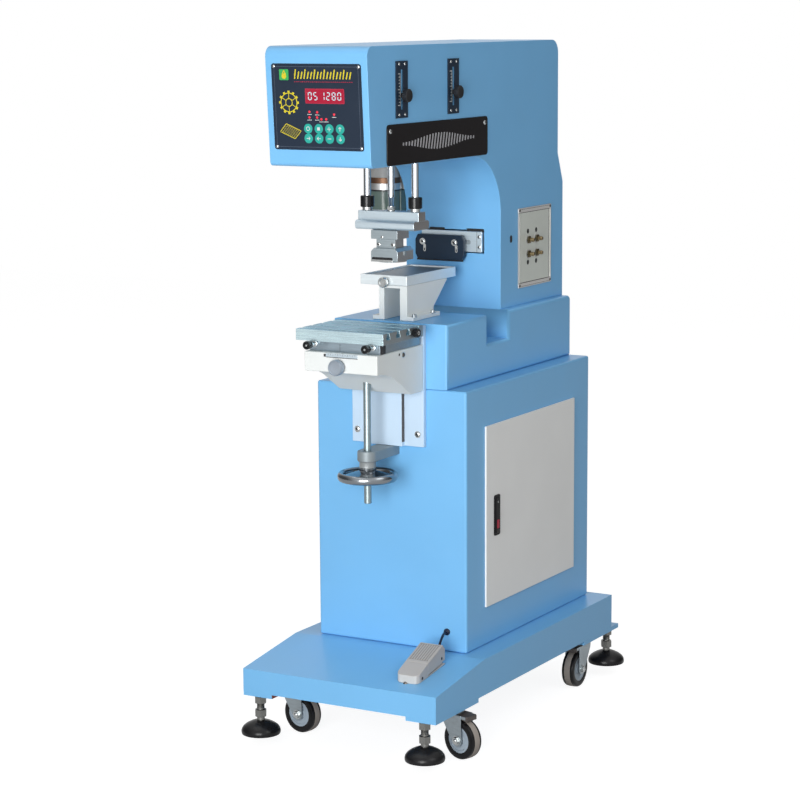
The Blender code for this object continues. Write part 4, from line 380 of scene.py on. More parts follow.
panelBeige = metal("panelBeige", (0.68, 0.72, 0.67), 0.42, contrast=0.05, fineness=1500.0, stain=0.05, bump=0.05, metallic=0.3)
panelEdge = metal("panelEdge", (0.70, 0.69, 0.68), 0.38, contrast=0.05, fineness=1500.0, stain=0.05, bump=0.05, metallic=0.4)
brushedAluminium = metal("brushedAluminium", (0.38, 0.44, 0.47), 0.36, contrast=0.07, stain=0.06, bump=0.08, metallic=0.85)
satinAluminium = metal("satinAluminium", (0.60, 0.70, 0.76), 0.36, contrast=0.04, stain=0.04, bump=0.05, metallic=0.75)
trayAluminium = metal("trayAluminium", (0.80, 0.86, 0.88), 0.40, contrast=0.04, stain=0.05, bump=0.05, metallic=0.5)
groundSteel = metal("groundSteel", (0.70, 0.90, 0.97), 0.25, contrast=0.10, fineness=1400.0, stain=0.12, bump=0.10,
                    metallic=0.9)
plateSteel = metal("plateSteel", (0.25, 0.28, 0.31), 0.46, contrast=0.08, fineness=1200.0, stain=0.10, bump=0.08,
                   turn=(0, 0, 90))
chrome = lathed("chrome", (0.58, 0.62, 0.66), 0.09, contrast=0.02, bump=0.01)
wheelChrome = lathed("wheelChrome", (0.26, 0.28, 0.30), 0.14, contrast=0.04, bump=0.02)
rodSteel = lathed("rodSteel", (0.30, 0.37, 0.39), 0.32, contrast=0.10, bump=0.04)
screwSteel = lathed("screwSteel", (0.55, 0.57, 0.57), 0.24, contrast=0.08, bump=0.05)
darkScrew = lathed("darkScrew", (0.14, 0.13, 0.12), 0.35, contrast=0.10, bump=0.1)
steelStem = lathed("steelStem", (0.22, 0.22, 0.21), 0.35, contrast=0.15, bump=0.1)
# tableTopBlueReflection: the table's steel tinted blue for its top faces, a painted reflection of the blue machine
tableTopBlueReflection = metal("tableTopBlueReflection", (0.19, 0.38, 0.51), 0.44, contrast=0.22, fineness=1100.0, stain=0.2, bump=0.15)
# tableSideShade: a darker copy of the table's steel for its side faces, painted shade
tableSideShade = metal("tableSideShade", (0.31, 0.34, 0.35), 0.45, contrast=0.15, fineness=900.0, stain=0.2, bump=0.2)
subSteel = metal("subSteel", (0.36, 0.44, 0.50), 0.35, contrast=0.10, fineness=1200.0, stain=0.12, bump=0.10)
knobAluminium = lathed("knobAluminium", (0.36, 0.41, 0.47), 0.40, contrast=0.06, bump=0.05)
bandBronze = lathed("bandBronze", (0.15, 0.085, 0.055), 0.40, contrast=0.10, bump=0.05)
bandSilver = lathed("bandSilver", (0.52, 0.53, 0.53), 0.35, contrast=0.05, bump=0.05)
regulatorGrey = coat("regulatorGrey", (0.31, 0.31, 0.30), 0.45, mottle=0.04, peel=600.0, dust=0.05, bump=0.1)
leverBrown = coat("leverBrown", (0.060, 0.050, 0.046), 0.45, mottle=0.08, peel=500.0, dust=0.15, bump=0.2)
zinc = metal("zinc", (0.36, 0.41, 0.44), 0.36, contrast=0.10, fineness=300.0, stain=0.15, bump=0.10)
nutBrass = lathed("nutBrass", (0.14, 0.12, 0.075), 0.34, contrast=0.14, bump=0.1)
brass = lathed("brass", (0.30, 0.23, 0.13), 0.28, contrast=0.12, bump=0.08)


def glowMaterial(name, color, strength):
    material = coat(name, color, 0.3, mottle=0.1, peel=900.0, bump=0.02)
    shader = material.node_tree.nodes["Principled BSDF"]
    shader.inputs["Emission Color"].default_value = (*color, 1.0)
    shader.inputs["Emission Strength"].default_value = strength
    return material


digitGlow = glowMaterial("digitGlow", (0.42, 0.52, 0.58), 0.35)
lampGlow = glowMaterial("lampGlow", (0.62, 0.02, 0.04), 0.5)
print("finishes made")


# Shape helpers
axisTurns = {
    "X": Matrix.Rotation(math.radians(90), 4, "Y"),
    "Y": Matrix.Rotation(math.radians(-90), 4, "X"),
    "Z": Matrix.Identity(4),
}


def spot(x, y, z):
    # a place measured from the column's front, the centre plane and the floor
    return machineZero + Vector((x, y, z))


def facePlane(origin, right, up):
    # local x, y and z become right, up and out of a face
    right = Vector(right).normalized()
    up = Vector(up).normalized()
    turn = Matrix((right, up, right.cross(up))).transposed().to_4x4()
    return Matrix.Translation(origin) @ turn


def bodyOf(node):
    return body_of(frame["nodes"][node])[0]


def nodeShape(*nodes):
    # CAD nodes' triangles, merged, with their flat faces whole again
    bm = bmesh.new()
    for node in nodes:
        bm.from_mesh(frame["nodes"][node].data)
    bmesh.ops.remove_doubles(bm, verts=bm.verts, dist=weldGap)
    bmesh.ops.dissolve_limit(bm, angle_limit=math.radians(1), verts=bm.verts, edges=bm.edges)
    return bm


def soften(bm, width, segments=2, angle=35, chosen=None, among=None):
    # round the outer edges that are sharper than an angle
    edges = []
    for edge in among or bm.edges:
        if len(edge.link_faces) != 2 or edge.calc_face_angle_signed(0) < math.radians(angle):
            continue
        if chosen is None or chosen(edge):
            edges.append(edge)
    if edges:
        bmesh.ops.bevel(
            bm, geom=edges, offset=width, segments=segments, profile=0.5, affect="EDGES", material=-1, clamp_overlap=True
        )


def makePiece(name, bm, materials, node=None, nodes=(), body=None, sharp=32):
    # node is the one that the piece stands for; nodes are more of them
    mesh = bpy.data.meshes.new(name)
    bm.to_mesh(mesh)
    bm.free()
    mesh.shade_smooth()
    mesh.set_sharp_from_angle(angle=math.radians(sharp))
    for material in materials:
        mesh.materials.append(material)
    piece = bpy.data.objects.new(name, mesh)
    scene.collection.objects.link(piece)
    level = piece.modifiers.new("flat faces stay flat", "WEIGHTED_NORMAL")
    level.keep_sharp = True
    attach(piece, body or bodyOf(node))
    if node:
        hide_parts(node, *nodes)
    return piece


def newFaces(bm, before, material):
    faces = [face for face in bm.faces if face not in before]
    for face in faces:
        face.material_index = material
    return faces


def addBlock(bm, low, high, material=0, width=0.0, place=None):
    before = set(bm.faces)
    low = Vector(low)
    high = Vector(high)
    matrix = Matrix.Translation((low + high) / 2) @ Matrix.Diagonal((*(high - low), 1.0))
    made = bmesh.ops.create_cube(bm, size=1.0, matrix=matrix)["verts"]
    if width:
        edges = list({edge for vert in made for edge in vert.link_edges})
        soften(bm, width, among=edges)
    faces = newFaces(bm, before, material)
    if place is not None:
        bmesh.ops.transform(bm, matrix=place, verts=list({vert for face in faces for vert in face.verts}))
    return faces


def addPlate(bm, plane, centre, size, reach, radius=0.0, edge=0.0, material=0, steps=5):
    # a plate with round corners on a face plane; reach is its low and high side
    before = set(bm.faces)
    middle = (centre[0], centre[1], sum(reach) / 2)
    matrix = Matrix.Translation(middle) @ Matrix.Diagonal((*size, reach[1] - reach[0], 1.0))
    made = bmesh.ops.create_cube(bm, size=1.0, matrix=matrix)["verts"]
    if radius:
        upright = {e for v in made for e in v.link_edges if (e.verts[0].co - e.verts[1].co).xy.length < weldGap}
        bmesh.ops.bevel(
            bm, geom=list(upright), offset=radius, segments=steps, profile=0.5, affect="EDGES", material=-1
        )
    faces = newFaces(bm, before, material)
    if edge:
        rim = {e for f in faces for e in f.edges if all(abs(v.co.z - reach[1]) < weldGap for v in e.verts)}
        bmesh.ops.bevel(bm, geom=list(rim), offset=edge, segments=2, profile=0.5, affect="EDGES", material=-1)
        faces = newFaces(bm, before, material)
    bmesh.ops.transform(bm, matrix=plane, verts=list({vert for face in faces for vert in face.verts}))
    return faces


def chamfered(points, size):
    # a profile with each inner corner cut off
    cut = [points[0]]
    for last, corner, following in zip(points, points[1:], points[2:]):
        corner = Vector(corner)
        for other in (Vector(last), Vector(following)):
            arm = other - corner
            cut.append(tuple(corner + arm * min(size / arm.length, 0.4)))
    cut.append(points[-1])
    return cut


def addTurned(bm, profile, place, axis="Z", steps=32, material=0, knurl=None, plane=None):
    # a turned shape from (radius, height) points; knurl is the low height, high height and depth of its grip
    before = set(bm.faces)
    points = [bm.verts.new((radius, 0, height)) for radius, height in profile]
    lines = [bm.edges.new(pair) for pair in zip(points, points[1:])]
    bmesh.ops.spin(
        bm, geom=points + lines, cent=(0, 0, 0), axis=(0, 0, 1), angle=2 * math.pi, steps=steps, use_merge=True
    )
    faces = newFaces(bm, before, material)
    verts = list({vert for face in faces for vert in face.verts})
    bmesh.ops.remove_doubles(bm, verts=verts, dist=weldGap / 10)
    faces = newFaces(bm, before, material)
    verts = list({vert for face in faces for vert in face.verts})
    bmesh.ops.recalc_face_normals(bm, faces=faces)
    if knurl:
        low, high, depth = knurl
        for vert in verts:
            turn = round(math.atan2(vert.co.y, vert.co.x) / (2 * math.pi / steps))
            if low <= vert.co.z <= high and turn % 2:
                vert.co.xy *= 1 - depth / vert.co.xy.length
    if plane is None:
        plane = Matrix.Translation(place) @ axisTurns[axis]
    else:
        plane = plane @ Matrix.Translation(place)
    bmesh.ops.transform(bm, matrix=plane, verts=verts)
    return faces


def addBar(bm, start, end, radius, sides=16, material=0, farRadius=None):
    # a round bar between two places
    before = set(bm.faces)
    start = Vector(start)
    end = Vector(end)
    turn = (end - start).to_track_quat("Z", "Y").to_matrix().to_4x4()
    bmesh.ops.create_cone(
        bm,
        cap_ends=True,
        segments=sides,
        radius1=radius,
        radius2=radius if farRadius is None else farRadius,
        depth=(end - start).length,
        matrix=Matrix.Translation((start + end) / 2) @ turn,
    )
    return newFaces(bm, before, material)


def addScrew(bm, plane, centre, base, radius, height, material=0, dark=1, cross=True):
    # a domed screw head on a face plane, with a cross or a socket; these are flat dark plates, painted shade standing
    # in for the recess
    place = (*centre, base)
    dome = [(0, height), (radius * 0.45, height * 0.95), (radius * 0.85, height * 0.6), (radius, 0), (0, 0)]
    addTurned(bm, dome, place, steps=16, material=material, plane=plane)
    if cross:
        # painted shade: the cross is two thin dark plates on the dome, not a recess
        for size in ((radius * 1.1, radius * 0.22), (radius * 0.22, radius * 1.1)):
            addPlate(bm, plane, centre, size, (base + height * 0.5, base + height * 1.02), material=dark)
    else:
        # painted shade: the socket is a dark hexagon on the dome, not a recess
        socket = [(0, height * 1.02), (radius * 0.48, height * 1.02), (radius * 0.48, height * 0.5), (0, height * 0.5)]
        addTurned(bm, socket, place, steps=6, material=dark, plane=plane)


def nodeMiddle(node):
    low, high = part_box(node)
    return (low + high) / 2


def nodeFace(node, outward):
    # a face plane at the middle of a node's largest face on one side, with that face's width and height
    bm = nodeShape(node)
    outward = Vector(outward)
    face = max((f for f in bm.faces if f.normal.dot(outward) > 0.9), key=lambda f: f.calc_area())
    normal = face.normal.copy()
    upward = Vector((0, 0, 1)) if abs(normal.z) < 0.9 else Vector((0, 1, 0))
    right = upward.cross(normal).normalized()
    up = normal.cross(right)
    places = [(vert.co.dot(right), vert.co.dot(up)) for vert in face.verts]
    low = [min(place[i] for place in places) for i in (0, 1)]
    high = [max(place[i] for place in places) for i in (0, 1)]
    height = face.verts[0].co.dot(normal)
    origin = right * (low[0] + high[0]) / 2 + up * (low[1] + high[1]) / 2 + normal * height
    bm.free()
    return facePlane(origin, right, up), high[0] - low[0], high[1] - low[1]


def addLine(bm, plane, start, end, width, reach, material=0):
    # a flat bar between two points of a face plane
    start = Vector((*start, 0))
    end = Vector((*end, 0))
    turn = Matrix.Rotation(math.atan2(end.y - start.y, end.x - start.x), 4, "Z")
    place = plane @ Matrix.Translation((start + end) / 2) @ turn
    return addPlate(bm, place, (0, 0), ((end - start).length, width), reach, material=material)


def addRing(bm, plane, centre, radius, width, reach, steps=32, material=0):
    # a flat washer on a face plane
    inner, outer = radius - width / 2, radius + width / 2
    profile = [(inner, reach[0]), (inner, reach[1]), (outer, reach[1]), (outer, reach[0]), (inner, reach[0])]
    return addTurned(bm, profile, (*centre, 0), steps=steps, material=material, plane=plane)


def addDisc(bm, plane, centre, base, radius, height, dome=0.25, steps=24, material=0):
    # a round button whose rim is rounded by a share of its height
    rim = min(height * 0.6, radius * 0.3)
    profile = [(0, height), (radius * 0.6, height - height * dome * 0.3), (radius - rim, height - height * dome)]
    profile += [(radius, height - height * dome - rim * 0.6), (radius, 0), (0, 0)]
    return addTurned(bm, profile, (*centre, base), steps=steps, material=material, plane=plane)


def addHex(bm, plane, centre, base, radius, height, material=0, bore=0.0):
    # a nut or bolt head with its corners turned off
    cut = radius * 0.09
    profile = [(bore, height), (radius - cut * 2, height), (radius, height - cut), (radius, cut), (radius - cut * 2, 0), (bore, 0)]
    if bore:
        profile.append((bore, height))
    return addTurned(bm, profile, (*centre, base), steps=6, material=material, plane=plane)


def placed(material, centre, axis="Z"):
    # a copy of a finish whose lines run round or along one piece
    copy = material.copy()
    mapping = next(node for node in copy.node_tree.nodes if node.type == "MAPPING")
    mapping.inputs["Location"].default_value = centre
    mapping.inputs["Rotation"].default_value = axisTurns[axis].to_euler()
    return copy


# Cable between the pedal and the cabinet, along the route that its solid has
cableSet = {
    "route": [
        (0.1290, -0.0663, 0.1785),
        (0.1290, -0.0610, 0.1790),
        (0.1287, -0.0550, 0.1840),
        (0.1278, -0.0480, 0.1930),
        (0.1262, -0.0390, 0.2005),
        (0.1228, -0.0250, 0.2070),
        (0.1200, -0.0130, 0.2097),
        (0.1194, -0.0046, 0.2100),
    ],
    "radius": 0.0024,
    "points": 28,
}


def smoothRoute(route, count):
    # evenly parted points of a Catmull-Rom curve
    places = [Vector(place) for place in route]
    places = [2 * places[0] - places[1], *places, 2 * places[-1] - places[-2]]
    stretches = len(places) - 3
    points = []
    for index in range(count + 1):
        along = min(index * stretches / count, stretches - 0.000001)
        first = int(along)
        t = along - first
        a, b, c, d = places[first:first + 4]
        bend = 2 * a - 5 * b + 4 * c - d
        points.append(0.5 * (2 * b + (c - a) * t + bend * t * t + (3 * b - a - 3 * c + d) * t ** 3))
    return points


def makeCable():
    points = [machineZero + place for place in smoothRoute(cableSet["route"], cableSet["points"])]
    curve = bpy.data.curves.new("pedal_cord", "CURVE")
    curve.dimensions = "3D"
    curve.bevel_depth = cableSet["radius"]
    curve.bevel_resolution = 4
    curve.use_fill_caps = True
    spline = curve.splines.new("POLY")
    spline.points.add(len(points) - 1)
    for point, place in zip(spline.points, points):
        point.co = (*place, 1)
    curve.materials.append(cordRubber)
    cable = bpy.data.objects.new("pedal_cord", curve)
    scene.collection.objects.link(cable)
    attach(cable, bodyOf("pedal_cable"))
    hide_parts("pedal_cable")


makeCable()
print("cable laid")


# Painted castings and sheet
castingSet = {
    "frameRound": 0.0075,
    "midRound": 0.0065,
    "cabinetRound": 0.0045,
    "baseRound": 0.0055,
    "smallRound": 0.0006,
    "throatOld": (0.162, 1.0045, 0.086),   # Y, Z and radius of the curve under the head, in the solid
    "throatNew": (0.133, 0.9755, 0.115),
    "vent": (0.2915, 0.9225),
    "ventSize": (0.0090, 0.0145),
    "brushes": ((-0.051, -0.018), (0.031, 0.068)),   # X reach of the black strips over the blade bar
    "brushHeight": 0.9415,
    "coverInset": 0.012,
    "primerReach": 0.150,
}


def outlineEdge(node):
    # true for the edges on a node's two side faces
    low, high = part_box(node)

    def chosen(edge):
        for side in (low.x, high.x):
            if all(abs(vert.co.x - side) < weldGap for vert in edge.verts):
                return True
        return False
    return chosen


def boxEdge(node):
    # true for the edges that lie on two of the six sides of a node's box
    low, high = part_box(node)

    def chosen(edge):
        shared = 0
        for axis in range(3):
            for side in (low[axis], high[axis]):
                if all(abs(vert.co[axis] - side) < weldGap for vert in edge.verts):
                    shared += 1
        return shared >= 2
    return chosen


def widenThroat(bm):
    # move the curve between neck and head to the wider one that the casting has
    oldY, oldZ, oldRadius = castingSet["throatOld"]
    newY, newZ, newRadius = castingSet["throatNew"]
    for vert in bm.verts:
        y = vert.co.y - machineZero.y - oldY
        z = vert.co.z - oldZ
        if y > -weldGap and z > -weldGap and abs(math.hypot(y, z) - oldRadius) < 0.0004:
            turn = math.atan2(z, y)
            vert.co.y = machineZero.y + newY + newRadius * math.cos(turn)
            vert.co.z = newZ + newRadius * math.sin(turn)


casterSet = {
    "plateHeight": 0.0948,      # underside of the foot plates
    "turns": {"front_right": -15.4, "front_left": -10.0, "rear_right": -90.0, "rear_left": -90.0},
    "trail": 0.025,
    "wheelRadius": 0.0375,
    "halfWidth": 0.013,
    "hubRadius": 0.0250,
    "bore": 0.0044,
    "tread": 0.0066,
    "axleReach": 0.0170,
    "lever": (0.040, 0.0475),
}


def makeCastings():
    bm = nodeShape("c_frame_shell")
    widenThroat(bm)
    soften(bm, castingSet["frameRound"], 4, 35, outlineEdge("c_frame_shell"))
    low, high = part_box("c_frame_shell")
    plane = facePlane(Vector((high.x, machineZero.y + castingSet["vent"][0], castingSet["vent"][1])), (0, 1, 0), (0, 0, 1))
    addPlate(bm, plane, (0, 0), castingSet["ventSize"], (-0.002, 0.0005), 0.0044, 0.0003, 1)
    for start, end in castingSet["brushes"]:
        size = (end - start, 0.0050)
        front = facePlane(spot((start + end) / 2, 0.248, castingSet["brushHeight"]), (1, 0, 0), (0, 0, 1))
        addPlate(bm, front, (0, 0), size, (-0.002, 0.0015), 0.0010, 0.0004, 1)
    makePiece("c_frame", bm, [bluePaint, blackRubber], "c_frame_shell")
    bm = nodeShape("mid_body")
    soften(bm, castingSet["midRound"], 4, 35, outlineEdge("mid_body"))
    makePiece("mid_casting", bm, [bluePaint], "mid_body")
    bm = nodeShape("lower_cabinet")
    soften(bm, castingSet["cabinetRound"], 3, 35, boxEdge("lower_cabinet"))
    makePiece("cabinet_sheet", bm, [bluePaint], "lower_cabinet")
    bm = nodeShape("base_plinth")
    soften(bm, castingSet["baseRound"], 4, 12, outlineEdge("base_plinth"))
    for face in bm.faces:
        middle = face.calc_center_median()
        if middle.z < casterSet["plateHeight"] - 0.0004:
            face.material_index = 1
        elif abs(face.normal.x) > 0.9 and abs(middle.x - machineZero.x) < castingSet["primerReach"]:
            if middle.z < casterSet["plateHeight"] + 0.0078:
                face.material_index = 2
    makePiece("base_sheet", bm, [bluePaint, zinc, redPrimer], "base_plinth")
    bm = nodeShape("rear_cover")
    soften(bm, castingSet["smallRound"], 2, 35)
    plane, width, height = nodeFace("rear_cover", (0, 1, 0))
    inset = castingSet["coverInset"]
    for x in (inset - width / 2, width / 2 - inset):
        for y in (inset - height / 2, 0, height / 2 - inset):
            addScrew(bm, plane, (x, y), -0.0001, 0.0038, 0.0018, 1, 2)
    makePiece("rear_hatch_cover", bm, [bluePaint, screwSteel, blackPlastic], "rear_cover")


makeCastings()
print("castings made")


# Pieces that keep their CAD shape, with their edges broken
softNodes = {
    # node: material, slot, edge width
    "cabinet_door": (doorPaint, "light_grey_paint", 0.0012),
    "cliche_plate": (plateSteel, "ground_steel", 0.0006),
    "head_carriage": (groundSteel, "ground_steel", 0.0008),
}


def makeSoftNodes():
    for node, (material, slotName, width) in softNodes.items():
        bm = nodeShape(node)
        soften(bm, width, 2, 35)
        makePiece(node + "_shape", bm, [material], node)


makeSoftNodes()
print("plain pieces made")


# Control panel on the head's front
panelSet = {
    "corner": 0.0045,
    "screwInset": 0.0050,
    "screw": (0.0028, 0.0012),            # radius and height
    "sheet": 0.0007,
    "window": (0.0164, 0.0193, 0.0768, 0.0231),
    "digits": [("05", -0.0135), ("1280", 0.0125)],   # their first digit's middle
    "digitPitch": 0.0113,
    "digit": (0.0078, 0.0142, 0.0017),    # width, height and bar width
    "lights": [(-0.0163, -0.0082), (-0.0168, -0.0181), (-0.0005, -0.0088), (-0.0010, -0.0179),
               (0.0076, -0.0210), (0.0174, -0.0208), (0.0339, -0.0124)],
    "keyColumns": (-0.0202, 0.0014, 0.0229, 0.0449),
    "keyRows": (-0.0377, -0.0548),
    "keyRadius": 0.0086,
    "ink": 0.00012,
}
digitBars = {
    "0": "abcdef", "1": "bc", "2": "abged", "5": "afgcd", "8": "abcdefg",
}


def addDigit(bm, plane, figure, x, y, reach, material):
    width, height, bar = panelSet["digit"]
    half = width / 2 - bar / 2
    level = height / 2 - bar / 2
    gap = bar * 0.62
    bars = {
        "a": ((-half + gap, level), (half - gap, level)),
        "g": ((-half + gap, 0), (half - gap, 0)),
        "d": ((-half + gap, -level), (half - gap, -level)),
        "f": ((-half, gap), (-half, level - gap * 0.3)),
        "b": ((half, gap), (half, level - gap * 0.3)),
        "e": ((-half, -level + gap * 0.3), (-half, -gap)),
        "c": ((half, -level + gap * 0.3), (half, -gap)),
    }
    for name in digitBars[figure]:
        start, end = bars[name]
        addLine(bm, plane, (x + start[0], y + start[1]), (x + end[0], y + end[1]), bar, reach, material)


def addKeySign(bm, plane, x, y, sign, reach, material):
    # plain signs on the keys: arrows, plus, minus, ring and square
    size = panelSet["keyRadius"] * 0.42
    line = 0.0012
    if sign in "<>^v":
        turn = {">": 0, "^": 90, "<": 180, "v": 270}[sign]
        place = plane @ Matrix.Translation((x, y, 0)) @ Matrix.Rotation(math.radians(turn), 4, "Z")
        addLine(bm, place, (-size, 0), (size, 0), line, reach, material)
        for side in (-1, 1):
            addLine(bm, place, (size, 0), (size * 0.2, size * 0.75 * side), line, reach, material)
    if sign in "+-":
        addLine(bm, plane, (x - size, y), (x + size, y), line, reach, material)
    if sign == "+":
        addLine(bm, plane, (x, y - size), (x, y + size), line, reach, material)
    if sign == "o":
        addRing(bm, plane, (x, y), size * 0.9, line, reach, 20, material)
    if sign == "s":
        addPlate(bm, plane, (x, y), (size * 1.5, size * 1.5), reach, material=material)


def addPanelMotif(bm, plane, reach, yellow, green, red):
    # a cogwheel over a pad and a hatched plate, with a striped heading and a drop
    centre = (-0.0575, 0.0075)
    addRing(bm, plane, centre, 0.0165, 0.0016, reach, 40, yellow)
    addRing(bm, plane, centre, 0.0068, 0.0013, reach, 28, yellow)
    for step in range(12):
        turn = math.radians(30 * step)
        arm = Vector((math.cos(turn), math.sin(turn)))
        start = Vector(centre) + arm * 0.0170
        addLine(bm, plane, start, start + arm * 0.0035, 0.0042, reach, yellow)
        if step % 2:
            addLine(bm, plane, Vector(centre) + arm * 0.0072, Vector(centre) + arm * 0.0160, 0.0012, reach, yellow)
    plate = [(-0.0780, -0.0440), (-0.0480, -0.0560), (-0.0350, -0.0420), (-0.0650, -0.0300)]
    for start, end in zip(plate, plate[1:] + plate[:1]):
        addLine(bm, plane, start, end, 0.0013, reach, yellow)
    for step in range(1, 8):
        share = step / 8
        start = Vector(plate[0]).lerp(Vector(plate[1]), share)
        end = Vector(plate[3]).lerp(Vector(plate[2]), share)
        addLine(bm, plane, start, end, 0.0007, reach, yellow)
    addPlate(bm, plane, (-0.0655, 0.0560), (0.0190, 0.0190), reach, 0.0020, material=green)
    addDisc(bm, plane, (-0.0655, 0.0535), reach[1], 0.0048, 0.00008, material=yellow)
    for side in (-1, 1):
        start = (-0.0655 + 0.0036 * side, 0.0562)
        addLine(bm, plane, start, (-0.0655, 0.0635), 0.0018, (reach[1], reach[1] + 0.00008), yellow)
    for step in range(18):
        x = -0.0440 + 0.0066 * step
        tall = 0.0125 if step % 3 else 0.0165
        addLine(bm, plane, (x, 0.0490), (x + 0.0030, 0.0490 + tall), 0.0024, reach, yellow)
    for step in range(30):
        x = -0.0450 + 0.0040 * step
        addLine(bm, plane, (x, 0.0440), (x + 0.0028, 0.0440), 0.0010, reach, red)


def makePanel():
    plane, width, height = nodeFace("control_panel", (0, -1, 0))
    plane = plane @ Matrix.Translation((0, 0, -panelSet["screw"][1]))
    ink = (-0.00005, panelSet["ink"])
    materials = [panelFilm, screwSteel, blackPlastic, displayRed, digitGlow, lampGlow, keyFilm, whiteInk, yellowInk, greenInk,
                 redInk, panelLine]
    bm = bmesh.new()
    addPlate(bm, plane, (0, 0), (width, height), (-panelSet["sheet"], 0), panelSet["corner"], 0.0003)
    addPlate(bm, plane, (0, 0), (width - 0.0110, height - 0.0100), (-0.00005, 0.00005), panelSet["corner"], material=11)
    addPlate(bm, plane, (0, 0), (width - 0.0120, height - 0.0110), (-0.00005, 0.00010), panelSet["corner"])
    for x in (-1, 1):
        for y in (-1, 1):
            place = (x * (width / 2 - panelSet["screwInset"]), y * (height / 2 - panelSet["screwInset"]))
            addScrew(bm, plane, place, 0, *panelSet["screw"], material=1, dark=2)
    x, y, wide, tall = panelSet["window"]
    addPlate(bm, plane, (x, y), (wide + 0.0030, tall + 0.0030), (0, 0.0005), 0.0016, 0.0002, 10)
    addPlate(bm, plane, (x, y), (wide, tall), (0.0001, 0.0007), 0.0010, material=3)
    for figures, first in panelSet["digits"]:
        for index, figure in enumerate(figures):
            addDigit(bm, plane, figure, first + index * panelSet["digitPitch"], y, (0.0005, 0.0009), 4)
    for place in panelSet["lights"]:
        addDisc(bm, plane, place, 0, 0.0024, 0.0010, 0.6, 16, 5)
        addLine(bm, plane, (place[0] - 0.0045, place[1] - 0.0046), (place[0] + 0.0045, place[1] - 0.0046), 0.0009, ink, 7)
    signs = iter("os+^><-v")
    for y in panelSet["keyRows"]:
        for x in panelSet["keyColumns"]:
            addDisc(bm, plane, (x, y), 0, panelSet["keyRadius"], 0.0008, 0.3, 28, 6)
            addKeySign(bm, plane, x, y, next(signs), (0.0006, 0.0009), 7)
    addPanelMotif(bm, plane, (0, 0.00018), 8, 9, 10)
    makePiece("control_panel_plate", bm, materials, "control_panel")


makePanel()


# Plates on the head's side
plateSet = {
    "strokeScrews": [(-0.0100, 0.0445), (0.0105, 0.0445), (-0.0100, -0.0440), (0.0105, -0.0440)],
    "strokeScrew": (0.0026, 0.0012),
    "ticks": 11,
    "tickPitch": 0.0055,
    "nameCorner": 0.007,
    "nameScrewInset": 0.0120,
    "nameScrew": (0.0042, 0.0018),
    "knobKnurl": 0.0005,
}


def makeStrokePlates():
    for node in ("stroke_plate_front", "stroke_plate_rear"):
        plane = nodeFace(node, (1, 0, 0))[0]
        bm = nodeShape(node)
        soften(bm, 0.0004, 2, 60)
        for place in plateSet["strokeScrews"]:
            addScrew(bm, plane, place, 0, *plateSet["strokeScrew"], material=1, dark=2)
        for step in range(plateSet["ticks"]):
            y = (step - (plateSet["ticks"] - 1) / 2) * plateSet["tickPitch"]
            start = -0.0150 if step % 5 == 0 else -0.0120
            addLine(bm, plane, (start, y), (-0.0080, y), 0.0010, (-0.00005, 0.00012), 3)
        addLine(bm, plane, (-0.0070, -0.0290), (-0.0070, 0.0290), 0.0008, (-0.00005, 0.00012), 3)
        makePiece(node + "_shape", bm, [blackAnodised, screwSteel, blackPlastic, whiteInk], node)
    for node in ("stroke_knob_front", "stroke_knob_rear"):
        low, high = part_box(node)
        middle = (low + high) / 2
        radius = (high.z - low.z) / 2
        length = high.x - low.x
        face = length * 0.98
        profile = [
            (0, face), (radius * 0.72, face), (radius * 0.80, length), (radius * 0.92, length), (radius, length * 0.94),
            (radius, length * 0.45), (radius * 0.9, length * 0.38), (radius * 0.34, length * 0.34), (radius * 0.34, 0), (0, 0),
        ]
        bm = bmesh.new()
        addTurned(bm, profile, (low.x, middle.y, middle.z), "X", 48, knurl=(length * 0.44, length * 0.95, plateSet["knobKnurl"]))
        makePiece(node + "_turned", bm, [blackPlastic], node)


def makeNamePlate():
    plane, width, height = nodeFace("name_plate", (1, 0, 0))
    low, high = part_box("name_plate")
    bm = bmesh.new()
    addPlate(bm, plane, (0, 0), (width, height), (low.x - high.x, 0), plateSet["nameCorner"], 0.0005)
    inset = plateSet["nameScrewInset"]
    for x in (-1, 1):
        addScrew(bm, plane, (x * (width / 2 - inset), height / 2 - inset), 0, *plateSet["nameScrew"], material=1, dark=2)
    for step in range(26):   # a plain striped band
        x = (step - 12.5) * 0.0106
        tall = 0.0085 + 0.0060 * math.cos(math.pi * (step - 12.5) / 13)
        addLine(bm, plane, (x - tall * 0.25, -tall), (x + tall * 0.25, tall), 0.0044, (-0.00005, 0.00015), 3)
    makePiece("name_plate_gloss", bm, [blackGloss, screwSteel, blackPlastic, silverInk], "name_plate")


makeStrokePlates()
makeNamePlate()


# Air panel on the neck, with its flow valves
airSet = {
    "strip": 0.0085,
    "stripDepth": 0.0011,
    "screwInset": 0.0048,
    "screw": (0.0030, 0.0013),
    "sideLine": 0.0075,
    "hole": 0.0036,
    "holeLift": 0.0165,
}


